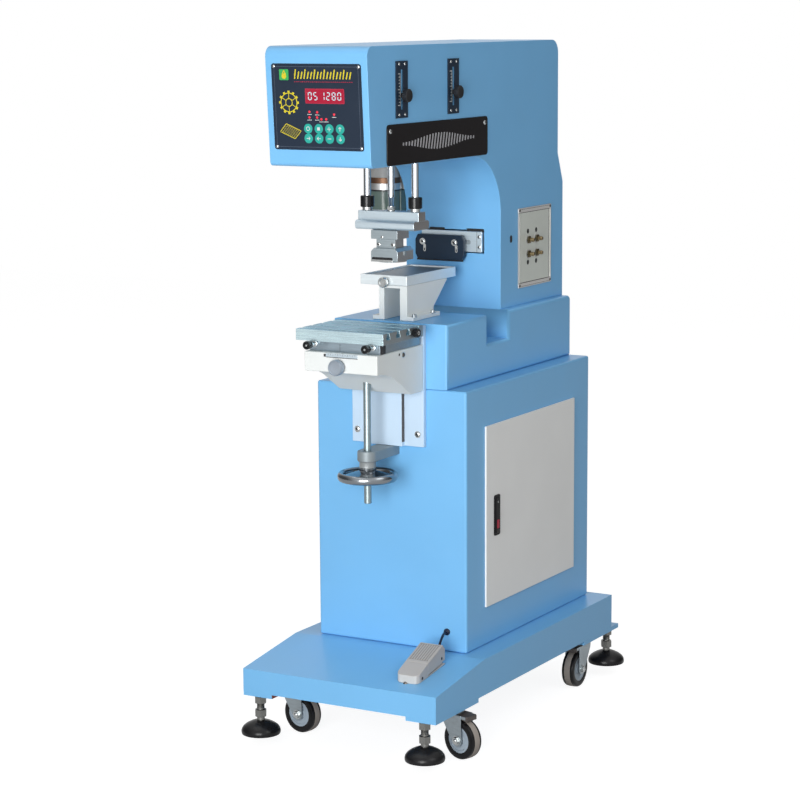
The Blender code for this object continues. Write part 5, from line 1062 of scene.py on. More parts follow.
def makeAirPanel():
    plane, width, height = nodeFace("air_panel", (1, 0, 0))
    low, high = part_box("air_panel")
    depth = high.x - low.x
    strip = airSet["strip"]
    bm = bmesh.new()
    addPlate(bm, plane, (0, 0), (width, height), (-depth, -airSet["stripDepth"]), 0.0015, material=1)
    for side in (-1, 1):
        centre = (0, side * (height - strip) / 2)
        addPlate(bm, plane, centre, (width, strip), (-depth * 0.9, 0), 0.0012, 0.0003)
        for end in (-1, 1):
            place = (end * (width / 2 - airSet["screwInset"]), side * (height / 2 - strip / 2))
            addScrew(bm, plane, place, 0, *airSet["screw"], material=3, dark=2, cross=False)
        x = side * (width / 2 - airSet["sideLine"])
        addPlate(bm, plane, (x, 0), (0.0009, height - 2 * strip), (-depth * 0.8, -airSet["stripDepth"] * 0.45), material=0)
        x = side * (width / 2 - 0.0012)
        addPlate(bm, plane, (x, 0), (0.0024, height - 2 * strip), (-depth * 0.9, -airSet["stripDepth"] * 0.2), material=0)
        base = -airSet["stripDepth"]
        x = side * (width / 2 - airSet["sideLine"] - 0.0012)
        addPlate(bm, plane, (x, 0), (0.0010, height - 2 * strip), (base - 0.0002, base + 0.0002), material=2)
        y = side * (height / 2 - strip - 0.0006)
        addPlate(bm, plane, (0, y), (width - 0.0050, 0.0011), (base - 0.0002, base + 0.0002), material=2)
        y = side * (height / 2 - strip * 0.30)
        addPlate(bm, plane, (0, y), (width - 0.0090, 0.0006), (-0.0003, 0.0001), material=2)
    turned = plane.inverted()
    valves = sorted(name for name in frame["nodes"] if name.startswith("flow_valve"))
    for node in valves:
        place = turned @ nodeMiddle(node)
        addRing(bm, plane, (place.x, place.y), 0.0084, 0.0016, (-airSet["stripDepth"] - 0.0001, -airSet["stripDepth"] * 0.5), 28, 0)
    heights = [(turned @ nodeMiddle(node)).y for node in valves]
    for node, height in zip(valves, heights):
        side = 1 if height > sum(heights) / len(heights) else -1
        x = (turned @ nodeMiddle(node)).x
        base = -airSet["stripDepth"] - 0.0001
        addDisc(bm, plane, (x, height + side * airSet["holeLift"]), base, airSet["hole"] * 1.35, 0.0006, 0.5, 20, 2)
    makePiece("air_panel_plate", bm, [panelEdge, panelBeige, blackPlastic, darkScrew], "air_panel")


def makeValves():
    for node in (name for name in frame["nodes"] if name.startswith("flow_valve")):
        low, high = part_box(node)
        middle = (low + high) / 2
        radius = (high.z - low.z) / 2
        length = high.x - low.x
        origin = Vector((low.x, middle.y, middle.z))
        plane = facePlane(origin, (0, 1, 0), (0, 0, 1))
        bm = bmesh.new()
        addHex(bm, plane, (0, 0), 0, radius * 1.2, length * 0.30, 1)
        steps = [(0, 0.34), (0.66, 0.34), (0.66, 0.40), (0.52, 0.44), (0.52, 0.60), (0.62, 0.62), (0.62, 0.84), (0.50, 0.92),
                 (0.50, 1.0), (0, 1.0)]
        profile = [(radius * share, length * along) for share, along in reversed(steps)]
        addTurned(bm, profile, (0, 0, 0), steps=28, plane=plane)
        # painted shade: a thin dark plate on the valve's end stands in for its screwdriver slot
        slot = (length * 0.93, length * 1.002)
        addPlate(bm, plane, (0, 0), (radius * 0.9, radius * 0.14), slot, material=2)
        makePiece(node + "_turned", bm, [placed(brass, origin, "X"), placed(nutBrass, origin, "X"), blackPlastic], node)


makeAirPanel()
makeValves()
print("panels and plates made")


# Pad head: rods, collars, holder bar and clamp
padSet = {
    "threadRadius": 0.0052,
    "threadTop": 0.025,
    "threadPitch": 0.00125,
    "threadDepth": 0.0004,
    "nutHeight": 0.0064,
    "washerHeight": 0.0013,
    "rodRadius": 0.0062,
    "collarBore": 0.0071,
    "collarWasher": (0.0095, 0.0055),      # radius and height
    "neckScrews": (-0.0150, 0.0150),
    "clampScrew": (0.0042, 0.0016),
    "shoeArch": (0.0440, 0.0052),
    "archLift": 0.0072,
}


def axisPoint(node):
    # the foot of a standing round node's axis, with its radius and height
    low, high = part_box(node)
    middle = (low + high) / 2
    return Vector((middle.x, middle.y, low.z)), (high.x - low.x) / 2, high.z - low.z


# painted light: faces that look up and faces that look along X take other finishes, lighter, darker or tinted copies
# that stand in for how light falls on those faces
def paintLightBySide(bm, top=1, side=2):
    for face in bm.faces:
        if face.material_index == 0 and face.normal.z > 0.7:
            face.material_index = top
        elif face.material_index == 0 and abs(face.normal.x) > 0.7:
            face.material_index = side


def makeRods():
    for node in ("guide_rod_left", "guide_rod_right"):
        foot, radius, height = axisPoint(node)
        profile = [(0, height), (radius - 0.0008, height), (radius, height - 0.0008), (radius, 0), (0, 0)]
        bm = bmesh.new()
        addTurned(bm, profile, foot, steps=48)
        makePiece(node + "_turned", bm, [placed(chrome, foot)], node)
    foot, nutRadius, height = axisPoint("piston_rod")
    radius = padSet["rodRadius"]
    thin = padSet["threadRadius"]
    depth = padSet["threadDepth"]
    pitch = padSet["threadPitch"]
    top = padSet["threadTop"]
    profile = [(0, height), (radius - 0.0006, height), (radius, height - 0.0006), (radius, top + 0.0006)]
    profile += [(radius - 0.0006, top), (thin - depth, top)]
    nutTop = padSet["washerHeight"] + padSet["nutHeight"]
    for step in range(int((top - nutTop) / pitch)):
        z = top - step * pitch
        profile += [(thin, z - pitch * 0.5), (thin - depth, z - pitch)]
    profile += [(thin - depth, 0), (0, 0)]
    bm = bmesh.new()
    addTurned(bm, profile, foot, steps=32)
    plane = Matrix.Translation(foot)
    addHex(bm, plane, (0, 0), padSet["washerHeight"], nutRadius, padSet["nutHeight"], 1)
    addRing(bm, plane, (0, 0), nutRadius * 0.76, nutRadius * 0.44, (0, padSet["washerHeight"]), 32, 1)
    makePiece("piston_rod_turned", bm, [placed(chrome, foot), placed(screwSteel, foot)], "piston_rod")
    for node in ("rod_collar_left", "rod_collar_right"):
        foot, radius, height = axisPoint(node)
        bore = padSet["collarBore"]
        washer, lift = padSet["collarWasher"]
        profile = [
            (bore, height), (radius - 0.0020, height), (radius - 0.0006, height - 0.0006), (radius, height - 0.0020),
            (radius, lift + 0.0016), (radius - 0.0005, lift + 0.0005), (radius - 0.0016, lift), (bore, lift), (bore, height),
        ]
        bm = bmesh.new()
        addTurned(bm, profile, foot, steps=48)
        rim = [(bore, lift), (washer, lift), (washer, lift * 0.55), (washer * 0.94, lift * 0.5), (washer * 0.94, lift * 0.42)]
        rim += [(washer, lift * 0.36), (washer, 0.0003), (washer - 0.0003, 0), (bore, 0), (bore, lift)]
        addTurned(bm, rim, foot, steps=40, material=1)
        makePiece(node + "_turned", bm, [collarBlack, placed(screwSteel, foot)], node)


def makeHolder():
    bm = nodeShape("pad_holder_bar")
    soften(bm, 0.0011, 2, 60)
    low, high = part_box("pad_holder_bar")
    middle = (low + high) / 2
    top = facePlane(Vector((0, 0, high.z)), (1, 0, 0), (0, 1, 0))
    for x in (-0.020, 0.026):
        addScrew(bm, top, (middle.x + x, middle.y + 0.0165), -0.0006, 0.0032, 0.0022, 1, 2, cross=False)
    # painted shade: the side faces take the darker copy of the aluminium
    paintLightBySide(bm, 0, 3)
    materials = [satinAluminium, screwSteel, blackPlastic, aluminiumSideShade]
    makePiece("pad_holder_bar_shape", bm, materials, "pad_holder_bar")
    bm = nodeShape("pad_clamp_block")
    soften(bm, 0.0008, 2, 60)
    low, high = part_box("pad_clamp_block")
    middle = (low + high) / 2
    clampFront = nodeStep("pad_clamp_block", high.z - 0.009)
    neckFront = nodeStep("pad_clamp_block", high.z - 0.026)
    clamp = facePlane(Vector((middle.x, clampFront, high.z - 0.010)), (1, 0, 0), (0, 0, 1))
    neck = facePlane(Vector((middle.x, neckFront, high.z - 0.026)), (1, 0, 0), (0, 0, 1))
    for x in padSet["neckScrews"]:
        addScrew(bm, neck, (x, -0.0010), -0.0001, *padSet["clampScrew"], material=1, dark=2, cross=False)
    addScrew(bm, clamp, (-0.0045, -0.0030), -0.0001, 0.0030, 0.0014, 1, 2, cross=False)
    side = facePlane(Vector((high.x, middle.y, low.z + 0.017)), (0, 1, 0), (0, 0, 1))
    addPlate(bm, side, (-0.004, 0), (0.0085, 0.0085), (-0.0002, 0.0022), 0.0010, 0.0006, 3)
    # painted shade: the side faces take the darker copy of the aluminium
    paintLightBySide(bm, 0, 4)
    shoe = facePlane(Vector((middle.x, low.y, low.z)), (1, 0, 0), (0, 0, 1))
    width, height = padSet["shoeArch"]
    addPlate(bm, shoe, (-0.004, padSet["archLift"]), (width, height), (-0.0004, 0.0003), height * 0.45, material=2)
    addPlate(bm, shoe, (-0.004, padSet["archLift"] - height * 0.7), (width * 1.06, height * 0.8), (-0.0060, 0.0022), 0.0008, 0.0005, 1)
    materials = [brushedAluminium, screwSteel, blackPlastic, castGrey, aluminiumSideShade]
    makePiece("pad_clamp_shape", bm, materials, "pad_clamp_block")


def nodeStep(node, height):
    # the foremost Y of a node's faces at one height
    bm = nodeShape(node)
    places = []
    for face in bm.faces:
        if face.normal.y > -0.9:
            continue
        heights = [vert.co.z for vert in face.verts]
        if min(heights) <= height <= max(heights):
            places.append(face.verts[0].co.y)
    bm.free()
    return min(places)


makeRods()
makeHolder()
print("pad head made")


# Blade unit and ink unit
inkSet = {
    "holderScrews": (0.0165, 0.0864),       # from the holder's left end
    "screw": (0.0050, 0.0018),
    "slot": (0.0054, 0.0145),
    "barScrew": (0.0038, 0.0014),
    "bladeReach": 0.0026,
    "standBolts": (0.0190, 0.0900),
}


def makeBladeUnit():
    bm = nodeShape("blade_holder")
    soften(bm, 0.0014, 2, 30)
    low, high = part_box("blade_holder")
    plane = nodeFace("blade_holder", (0, -1, 0))[0]
    right = (high.x - low.x) / 2
    for inset in inkSet["holderScrews"]:
        x = inset - right
        addScrew(bm, plane, (x, 0.0100), -0.0001, *inkSet["screw"], material=1, dark=2, cross=False)
        addRing(bm, plane, (x, 0.0100), 0.0052, 0.0022, (-0.0002, 0.0004), 24, 1)
        addPlate(bm, plane, (x + 0.0045, -0.0020), inkSet["slot"], (-0.0002, 0.0003), 0.0025, material=1)
        # painted shade: a dark bar on the slot plate stands in for the open slot
        addPlate(bm, plane, (x + 0.0045, -0.0050), (0.0022, 0.0050), (0, 0.0005), 0.0010, material=2)
    reach = inkSet["bladeReach"]
    addBlock(bm, (low.x + reach, low.y + 0.0020, low.z - reach), (high.x - reach, low.y + 0.0030, low.z + 0.0010), 2, 0.0003)
    makePiece("blade_holder_shape", bm, [blackAnodised, screwSteel, blackPlastic], "blade_holder")
    bm = nodeShape("blade_bar")
    soften(bm, 0.0009, 2, 60)
    low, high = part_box("blade_bar")
    plane, width, height = nodeFace("blade_bar", (0, -1, 0))
    end = width / 2
    addPlate(bm, plane, (end - 0.0105, 0), (0.0007, height * 0.98), (-0.0002, 0.00008), material=2)
    for y in (-0.0100, 0.0100):
        addScrew(bm, plane, (end - 0.0055, y), -0.0001, *inkSet["barScrew"], material=1, dark=2)
    addPlate(bm, plane, (end - 0.0360, -0.0010), (0.0240, 0.0090), (-0.0002, 0.00010), 0.0040, material=3)
    makePiece("blade_bar_shape", bm, [satinAluminium, screwSteel, blackPlastic, brushedAluminium], "blade_bar")


def makeInkUnit():
    bm = nodeShape("ink_stand")
    soften(bm, 0.0014, 2, 50)
    low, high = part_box("ink_stand")
    flange = max(
        (face for face in bm.faces if face.normal.z > 0.9 and face.calc_center_median().z < low.z + 0.02),
        key=lambda face: face.calc_center_median().x,
    ).calc_center_median()
    plane = facePlane(Vector((flange.x, 0, flange.z)), (1, 0, 0), (0, 1, 0))
    for y in inkSet["standBolts"]:
        place = (0, machineZero.y + y)
        addDisc(bm, plane, place, 0, 0.0058, 0.0010, 0.2, 24, 1)
        addTurned(bm, [(0, 0.0045), (0.0036, 0.0045), (0.0042, 0.0039), (0.0042, 0), (0, 0)], (*place, 0.0010), steps=24,
                  material=1, plane=plane)
        # painted shade: a dark hexagon on the bolt head stands in for its socket
        addTurned(bm, [(0, 0.0046), (0.0022, 0.0046), (0.0022, 0.0020), (0, 0.0020)], (*place, 0.0010), steps=6,
                  material=2, plane=plane)
    makePiece("ink_stand_shape", bm, [creamPaint, screwSteel, blackPlastic], "ink_stand")
    bm = nodeShape("ink_tray")
    soften(bm, 0.0009, 2, 50)
    makePiece("ink_tray_shape", bm, [trayAluminium], "ink_tray")
    low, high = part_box("plate_screw")
    middle = (low + high) / 2
    radius = (high.x - low.x) / 2
    length = high.y - low.y
    foot = Vector((middle.x, high.y, middle.z))
    plane = facePlane(foot, (1, 0, 0), (0, 0, 1))
    profile = [
        (0, length * 0.94), (radius * 0.55, length * 0.94), (radius * 0.66, length), (radius * 0.88, length),
        (radius, length * 0.93), (radius, length * 0.45), (radius * 0.9, length * 0.38), (radius * 0.5, length * 0.34),
        (radius * 0.5, 0), (0, 0),
    ]
    bm = bmesh.new()
    addTurned(bm, profile, (0, 0, 0), steps=48, plane=plane, knurl=(-1, 1, 0.0))
    makePiece("plate_screw_turned", bm, [placed(screwSteel, foot, "Y")], "plate_screw")


makeBladeUnit()
makeInkUnit()
print("blade and ink units made")


# Table, knee, slide and lead screw
tableSet = {
    "stop": (0.0045, 0.0130),              # width and depth of the block at the sub-plate's right front end
    "scale": (-0.0300, 0.0360, 0.7483),    # left end, right end and middle height
    "scaleHeight": 0.0062,
    "scaleLines": 13,
    "pointerX": -0.0096,
    "sideScrew": (-0.0860, 0.7430),
    "sideHole": (-0.0995, 0.7450),
    "slideScrews": (-0.0655, 0.0640),
    "slideScrewHeights": (0.583, 0.735),
    "railSide": 0.0360,
    "stem": 0.0034,
    "stemLength": 0.0230,
    "hubRadius": 0.0155,
    "hubHeight": 0.020,
    "rim": (0.0503, 0.0062, 0.0163),       # radius, half thickness and drop
    "rimStretch": 1.34,
    "web": (0.0067, 0.0035),               # drop at the hub and thickness
    "bore": 0.0073,
}


def makeTable():
    bm = nodeShape("t_slot_table")
    soften(bm, 0.0005, 2, 35)
    # painted light: top faces take the blue-tinted copy of the steel (painted reflection), side faces the darker copy
    # (painted shade)
    paintLightBySide(bm)
    makePiece("t_slot_table_shape", bm, [groundSteel, tableTopBlueReflection, tableSideShade], "t_slot_table")
    bm = nodeShape("table_sub_plate")
    soften(bm, 0.0006, 2, 35)
    # painted light: top faces take the blue-tinted copy (painted reflection), side faces the darker copy (painted
    # shade)
    paintLightBySide(bm)
    low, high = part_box("table_sub_plate")
    width, depth = tableSet["stop"]
    addBlock(bm, (high.x - 0.001, low.y + 0.0004, low.z + 0.001), (high.x + width, low.y + depth, high.z - 0.001), 3, 0.0005)
    front = facePlane(Vector((machineZero.x, low.y, (low.z + high.z) / 2)), (1, 0, 0), (0, 0, 1))
    x = tableSet["pointerX"]
    addPlate(bm, front, (x, -0.0035), (0.0006, 0.0100), (-0.0002, 0.00010), material=3)
    addPlate(bm, front, (x, 0.0030), (0.0044, 0.0008), (-0.0002, 0.00010), material=3)
    materials = [subSteel, tableTopBlueReflection, tableSideShade, blackPlastic]
    makePiece("table_sub_plate_shape", bm, materials, "table_sub_plate")


def makeKnee():
    bm = nodeShape("knee_bracket")
    soften(bm, 0.0020, 2, 30)
    low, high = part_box("knee_bracket")
    left, right, height = tableSet["scale"]
    front = facePlane(Vector((machineZero.x, low.y, height)), (1, 0, 0), (0, 0, 1))
    length = right - left
    tall = tableSet["scaleHeight"]
    addPlate(bm, front, ((left + right) / 2, 0), (length, tall), (-0.0010, 0.0012), 0.0004, 0.0002, 1)
    # painted shadow: a thin dark band under the scale's lower edge
    addPlate(bm, front, ((left + right) / 2, -tall / 2 - 0.0006), (length, 0.0012), (-0.0002, 0.0006), material=2)
    addPlate(bm, front, (left - 0.0022, -0.0008), (0.0042, tall * 0.8), (-0.0002, 0.0014), 0.0004, 0.0003, 2)
    lines = tableSet["scaleLines"]
    for step in range(1, lines):
        reach = 0.0034 if step % 2 else 0.0020
        x = left + length * step / lines
        addPlate(bm, front, (x, tall / 2 - reach / 2 - 0.0003), (0.0004, reach), (0.0010, 0.00127), material=2)
    side = facePlane(Vector((high.x, machineZero.y, 0)), (0, 1, 0), (0, 0, 1))
    addScrew(bm, side, tableSet["sideScrew"], -0.0001, 0.0048, 0.0030, 3, 2, cross=False)
    addRing(bm, side, tableSet["sideScrew"], 0.0052, 0.0014, (-0.0002, 0.0008), 28, 1)
    addDisc(bm, side, tableSet["sideHole"], -0.0001, 0.0026, 0.0003, 0.2, 20, 2)
    makePiece("knee_bracket_shape", bm, [creamPaint, satinAluminium, blackPlastic, darkScrew], "knee_bracket")
    low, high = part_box("lock_knob")
    middle = (low + high) / 2
    radius = (high.x - low.x) / 2
    length = high.y - low.y
    plane = facePlane(Vector((middle.x, high.y, middle.z)), (1, 0, 0), (0, 0, 1))
    profile = [
        (0, length - 0.0008), (radius * 0.80, length - 0.0008), (radius * 0.84, length), (radius - 0.0010, length),
        (radius, length - 0.0012), (radius, 0.0040), (radius - 0.0012, 0.0028), (radius * 0.55, 0.0024), (radius * 0.55, 0), (0, 0),
    ]
    bm = bmesh.new()
    addTurned(bm, profile, (0, 0, 0), steps=72, plane=plane, knurl=(0.0038, length - 0.0011, 0.00055))
    makePiece("lock_knob_turned", bm, [placed(knobAluminium, plane.translation, "Y")], "lock_knob")


def makeKnobs():
    stem = tableSet["stem"]
    for node in ("table_knob_left", "table_knob_right"):
        low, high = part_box(node)
        middle = (low + high) / 2
        radius = (high.x - low.x) / 2
        length = high.y - low.y
        back = tableSet["stemLength"]
        plane = facePlane(Vector((middle.x, high.y, middle.z)), (1, 0, 0), (0, 0, 1))
        profile = [
            (0, length - 0.0012), (radius * 0.45, length - 0.0012), (radius * 0.55, length), (radius * 0.82, length),
            (radius, length - 0.0016), (radius, back + 0.0022), (radius * 0.86, back + 0.0008), (radius * 0.5, back), (0, back),
        ]
        bm = bmesh.new()
        addTurned(bm, profile, (0, 0, 0), steps=40, plane=plane, knurl=(back + 0.0020, length - 0.0014, 0.0004))
        addTurned(bm, [(0, back), (stem, back), (stem, 0), (0, 0)], (0, 0, 0), steps=28, material=1, plane=plane)
        addTurned(bm, [(0, 0.0004), (0.0019, 0), (0.0019, -0.0016), (0, -0.0016)], (0, 0, length - 0.0010), steps=20, material=1,
                  plane=plane)
        addHex(bm, plane, (0, 0), 0.0004, radius * 0.82, 0.0050, 1)
        addRing(bm, plane, (0, 0), stem + 0.0012, 0.0028, (back - 0.0060, back - 0.0035), 28, 1)
        makePiece(node + "_turned", bm, [collarBlack, placed(screwSteel, plane.translation, "Y")], node)
    low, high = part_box("table_side_knob")
    middle = (low + high) / 2
    radius = (high.z - low.z) / 2
    length = high.x - low.x
    plane = facePlane(Vector((low.x, middle.y, middle.z)), (0, 1, 0), (0, 0, 1))
    profile = [
        (0, length - 0.0016), (radius * 0.5, length - 0.0016), (radius * 0.58, length), (radius * 0.85, length),
        (radius, length - 0.0016), (radius, 0.0022), (radius * 0.8, 0), (0, 0),
    ]
    bm = bmesh.new()
    addTurned(bm, profile, (0, 0, 0), steps=40, plane=plane, knurl=(0.0020, length - 0.0014, 0.0004))
    addRing(bm, plane, (0, 0), radius * 0.34, radius * 0.2, (length - 0.0020, length - 0.0006), 28, 1)
    makePiece("table_side_knob_turned", bm, [collarBlack, screwSteel], "table_side_knob")


def makeSlide():
    bm = nodeShape("slide_plate")
    soften(bm, 0.0010, 2, 35)
    low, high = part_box("slide_plate")
    plane = facePlane(spot(0, -0.0105, 0), (1, 0, 0), (0, 0, 1))
    for x in tableSet["slideScrews"]:
        for z in tableSet["slideScrewHeights"]:
            addScrew(bm, plane, (x, z), -0.0001, 0.0050, 0.0026, 1, 2, cross=False)
            addRing(bm, plane, (x, z), 0.0056, 0.0014, (-0.0002, 0.0006), 28, 1)
    # painted shade: a thin dark brown plate over the dovetail's side face stands in for that face in shade
    start = spot(tableSet["railSide"] - 0.0005, -0.0203, low.z + 0.0080)
    end = spot(tableSet["railSide"] + 0.0001, -0.0107, high.z - 0.0200)
    addBlock(bm, start, end, 3)
    makePiece("slide_plate_shape", bm, [greyPaint, screwSteel, blackPlastic, leverBrown], "slide_plate")
    bm = nodeShape("screw_bracket")
    soften(bm, 0.0012, 2, 35)
    low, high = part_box("screw_bracket")
    for face in bm.faces:
        if face.calc_center_median().z < high.z - 0.0182:
            face.material_index = 1
    makePiece("screw_bracket_shape", bm, [castGrey, castLight], "screw_bracket")
    foot, radius, height = axisPoint("lead_screw")
    profile = [(0, height), (radius, height), (radius, 0.0010), (radius - 0.0010, 0), (0, 0)]
    bm = bmesh.new()
    addTurned(bm, profile, foot, steps=48)
    makePiece("lead_screw_turned", bm, [placed(rodSteel, foot)], "lead_screw")


def makeHandwheel():
    foot, radius, height = axisPoint("handwheel")
    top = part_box("handwheel")[1].z
    hub = tableSet["hubRadius"]
    hubEnd = -tableSet["hubHeight"]
    bore = tableSet["bore"]
    rimRadius, rimThick, rimDrop = tableSet["rim"]
    webDrop, webThick = tableSet["web"]
    lean = math.asin(webThick / 2 / rimThick)
    profile = [(bore, 0), (hub - 0.0010, 0), (hub, -0.0010), (hub, -webDrop + 0.0012), (hub + 0.0014, -webDrop - 0.0002)]
    for step in range(25):
        turn = math.pi - lean - (2 * math.pi - 2 * lean) * step / 24
        tall = rimThick * tableSet["rimStretch"]
        profile.append((rimRadius + rimThick * math.cos(turn), tall * math.sin(turn) - rimDrop))
    profile += [(hub + 0.0014, -webDrop - webThick - 0.0006), (hub, -webDrop - webThick - 0.0018), (hub, hubEnd + 0.0010)]
    profile += [(hub - 0.0010, hubEnd), (bore, hubEnd), (bore, 0)]
    place = Vector((foot.x, foot.y, top))
    bm = bmesh.new()
    addTurned(bm, profile, place, steps=96)
    makePiece("handwheel_turned", bm, [placed(wheelChrome, place)], "handwheel")


makeTable()
makeKnee()
makeKnobs()
makeSlide()
makeHandwheel()
print("table and screw made")


# Door latch, pedal and grommet
pedalSet = {
    "cornerRound": 0.0110,
    "edgeRound": 0.0020,
    "ribs": 9,
    "ribWidth": 0.0026,
    "ribHeight": 0.0007,
    "toeScrew": (0.1215, 0.1505),
    "sideScrews": ((-0.1475, 0.1605), (-0.0740, 0.1800)),
    "wall": 0.0025,
}
latchSet = {
    "handle": (0.62, 0.88),
    "red": (0.0085, 0.3920, 0.4085),      # width, low and high side
    "dot": 0.4431,
}


def makeLatch():
    low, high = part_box("door_latch")
    middle = (low + high) / 2
    width = high.y - low.y
    height = high.z - low.z
    thick = high.x - low.x
    plane = facePlane(Vector((low.x, middle.y, middle.z)), (0, 1, 0), (0, 0, 1))
    share, tall = latchSet["handle"]
    bm = bmesh.new()
    addPlate(bm, plane, (0, 0), (width, height), (0, thick * 0.6), 0.0040, 0.0006)
    addPlate(bm, plane, (0, 0), (width * share, height * tall), (thick * 0.3, thick), 0.0030, 0.0008)
    wide, start, end = latchSet["red"]
    centre = (0, (start + end) / 2 - middle.z)
    addPlate(bm, plane, centre, (wide, end - start), (thick * 0.5, thick + 0.0006), 0.0008, 0.0005, 1)
    addScrew(bm, plane, (0, latchSet["dot"] - middle.z), thick - 0.0002, 0.0020, 0.0008, 2, 0, cross=False)
    for z in (-0.0335, -0.0310, -0.0285):
        addPlate(bm, plane, (0, z), (wide, 0.0008), (thick * 0.5, thick + 0.0003), material=3)
    makePiece("door_latch_shape", bm, [latchBlack, redInk, screwSteel, leverBrown], "door_latch")


def makePedal():
    low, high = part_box("foot_pedal_base")
    corner = pedalSet["cornerRound"]

    def upright(edge, sides, y):
        a, b = (vert.co for vert in edge.verts)
        if abs(a.x - b.x) > weldGap or abs(a.z - b.z) < 0.004:
            return False
        return min(abs(a.x - side) for side in sides) < weldGap and abs(a.y - y) < 0.0006 and abs(b.y - y) < 0.0006

    bm = nodeShape("foot_pedal_base")
    soften(bm, corner, 5, 30, lambda edge: upright(edge, (low.x, high.x), low.y))
    soften(bm, pedalSet["edgeRound"] * 0.6, 2, 40)
    for face in bm.faces:
        if face.normal.y < -0.8 and face.calc_center_median().y < low.y + 0.003:
            face.material_index = 1
    front = facePlane(Vector((machineZero.x, low.y, 0)), (1, 0, 0), (0, 0, 1))
    addScrew(bm, front, pedalSet["toeScrew"], -0.0001, 0.0045, 0.0032, 2, 3, cross=False)
    side = facePlane(Vector((high.x, machineZero.y, 0)), (0, 1, 0), (0, 0, 1))
    addScrew(bm, side, pedalSet["sideScrews"][0], -0.0001, 0.0030, 0.0010, 3, 2)
    materials = [beigePlastic, toePlastic, darkScrew, blackPlastic]
    makePiece("foot_pedal_base_shape", bm, materials, "foot_pedal_base")
    bm = nodeShape("foot_pedal_top")
    low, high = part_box("foot_pedal_top")
    soften(bm, pedalSet["edgeRound"], 3, 20, lambda edge: max(vert.co.z for vert in edge.verts) > low.z + 0.012)
    plane, width, length = nodeFace("foot_pedal_top", (0, -0.45, 0.89))
    # painted shade: a darker beige sheet under the ribs darkens the grooves between them
    addPlate(bm, plane, (0, 0.0015), (width * 0.90, length * 0.84), (-0.0010, 0.00005), 0.0020, 0, 3)
    ribs = pedalSet["ribs"]
    for step in range(ribs):
        x = (step - (ribs - 1) / 2) * width * 0.86 / (ribs - 1)
        inset = 0.004 * abs(step - (ribs - 1) / 2) / ribs
        reach = (-0.0003, pedalSet["ribHeight"])
        addPlate(bm, plane, (x, 0.0015 - inset / 2), (pedalSet["ribWidth"], length * 0.80 - inset), reach, 0.0007, 0.0003)
    side = facePlane(Vector((high.x, machineZero.y, 0)), (0, 1, 0), (0, 0, 1))
    addScrew(bm, side, pedalSet["sideScrews"][1], -0.0001, 0.0030, 0.0010, 1, 2)
    materials = [beigePlastic, blackPlastic, darkScrew, beigeGrooveShade]
    makePiece("foot_pedal_top_shape", bm, materials, "foot_pedal_top")


def makeGrommet():
    low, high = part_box("cable_grommet")
    middle = (low + high) / 2
    radius = (high.x - low.x) / 2
    length = high.y - low.y
    bore = cableSet["radius"] + 0.0003
    plane = facePlane(Vector((middle.x, high.y, middle.z)), (1, 0, 0), (0, 0, 1))
    profile = [
        (bore, length), (radius * 0.62, length), (radius * 0.88, length * 0.80), (radius, length * 0.40), (radius, 0), (bore, 0),
        (bore, length),
    ]
    bm = bmesh.new()
    addTurned(bm, profile, (0, 0, 0), steps=36, plane=plane)
    makePiece("cable_grommet_turned", bm, [cordRubber], "cable_grommet")


makeLatch()
makePedal()
makeGrommet()
print("latch and pedal made")


# Casters and levelling feet
footSet = {
    "pad": [(0, 0.0482), (0.0095, 0.0482), (0.0135, 0.0468), (0.0205, 0.0440), (0.0275, 0.0403), (0.0330, 0.0360),
            (0.0360, 0.0318), (0.0370, 0.0280), (0.0370, 0.0245), (0.0362, 0.0222), (0, 0.0222)],
    "stem": 0.0073,
    "nut": (0.0118, 0.0143),
    "nuts": (0.0801, 0.0546),
    "threads": (0.0692, 0.0799),
    "pitch": 0.0018,
}


def makeCasters():
    half = casterSet["halfWidth"]
    radius = casterSet["wheelRadius"]
    hub = casterSet["hubRadius"]
    bore = casterSet["bore"]
    tread = casterSet["tread"]
    tyre = [
        (hub, half - 0.0012), (hub + 0.003, half - 0.0002), (radius - 0.0045, half), (radius - 0.0018, half - 0.0012),
        (radius - 0.0005, half - 0.0034),
    ]
    tyre += [(r, -z) for r, z in reversed(tyre)] + [tyre[0]]
    band = [(radius - 0.0012, tread), (radius - 0.0002, tread - 0.0004), (radius, tread - 0.0012)]
    band += [(r, -z) for r, z in reversed(band)] + [band[0]]
    disc = [
        (bore, half - 0.0022), (0.0105, half - 0.0022), (0.0115, half - 0.0034), (hub - 0.0050, half - 0.0034),
        (hub - 0.0040, half - 0.0016), (hub, half - 0.0016),
    ]
    disc += [(r, -z) for r, z in reversed(disc)] + [disc[0]]
    for corner, turn in casterSet["turns"].items():
        swing = Matrix.Rotation(math.radians(turn), 4, "Z")
        wheelMiddle = nodeMiddle("caster_wheel_" + corner)
        plane = Matrix.Translation(wheelMiddle) @ swing @ axisTurns["Y"]
        bm = bmesh.new()
        for index, profile in enumerate((tyre, band, disc)):
            addTurned(bm, profile, (0, 0, 0), steps=72, material=index, plane=plane)
        materials = [tyreBlack, treadRubber, hubGrey]
        makePiece("caster_wheel_%s_turned" % corner, bm, materials, "caster_wheel_" + corner)
        makeFork(corner, wheelMiddle, swing)


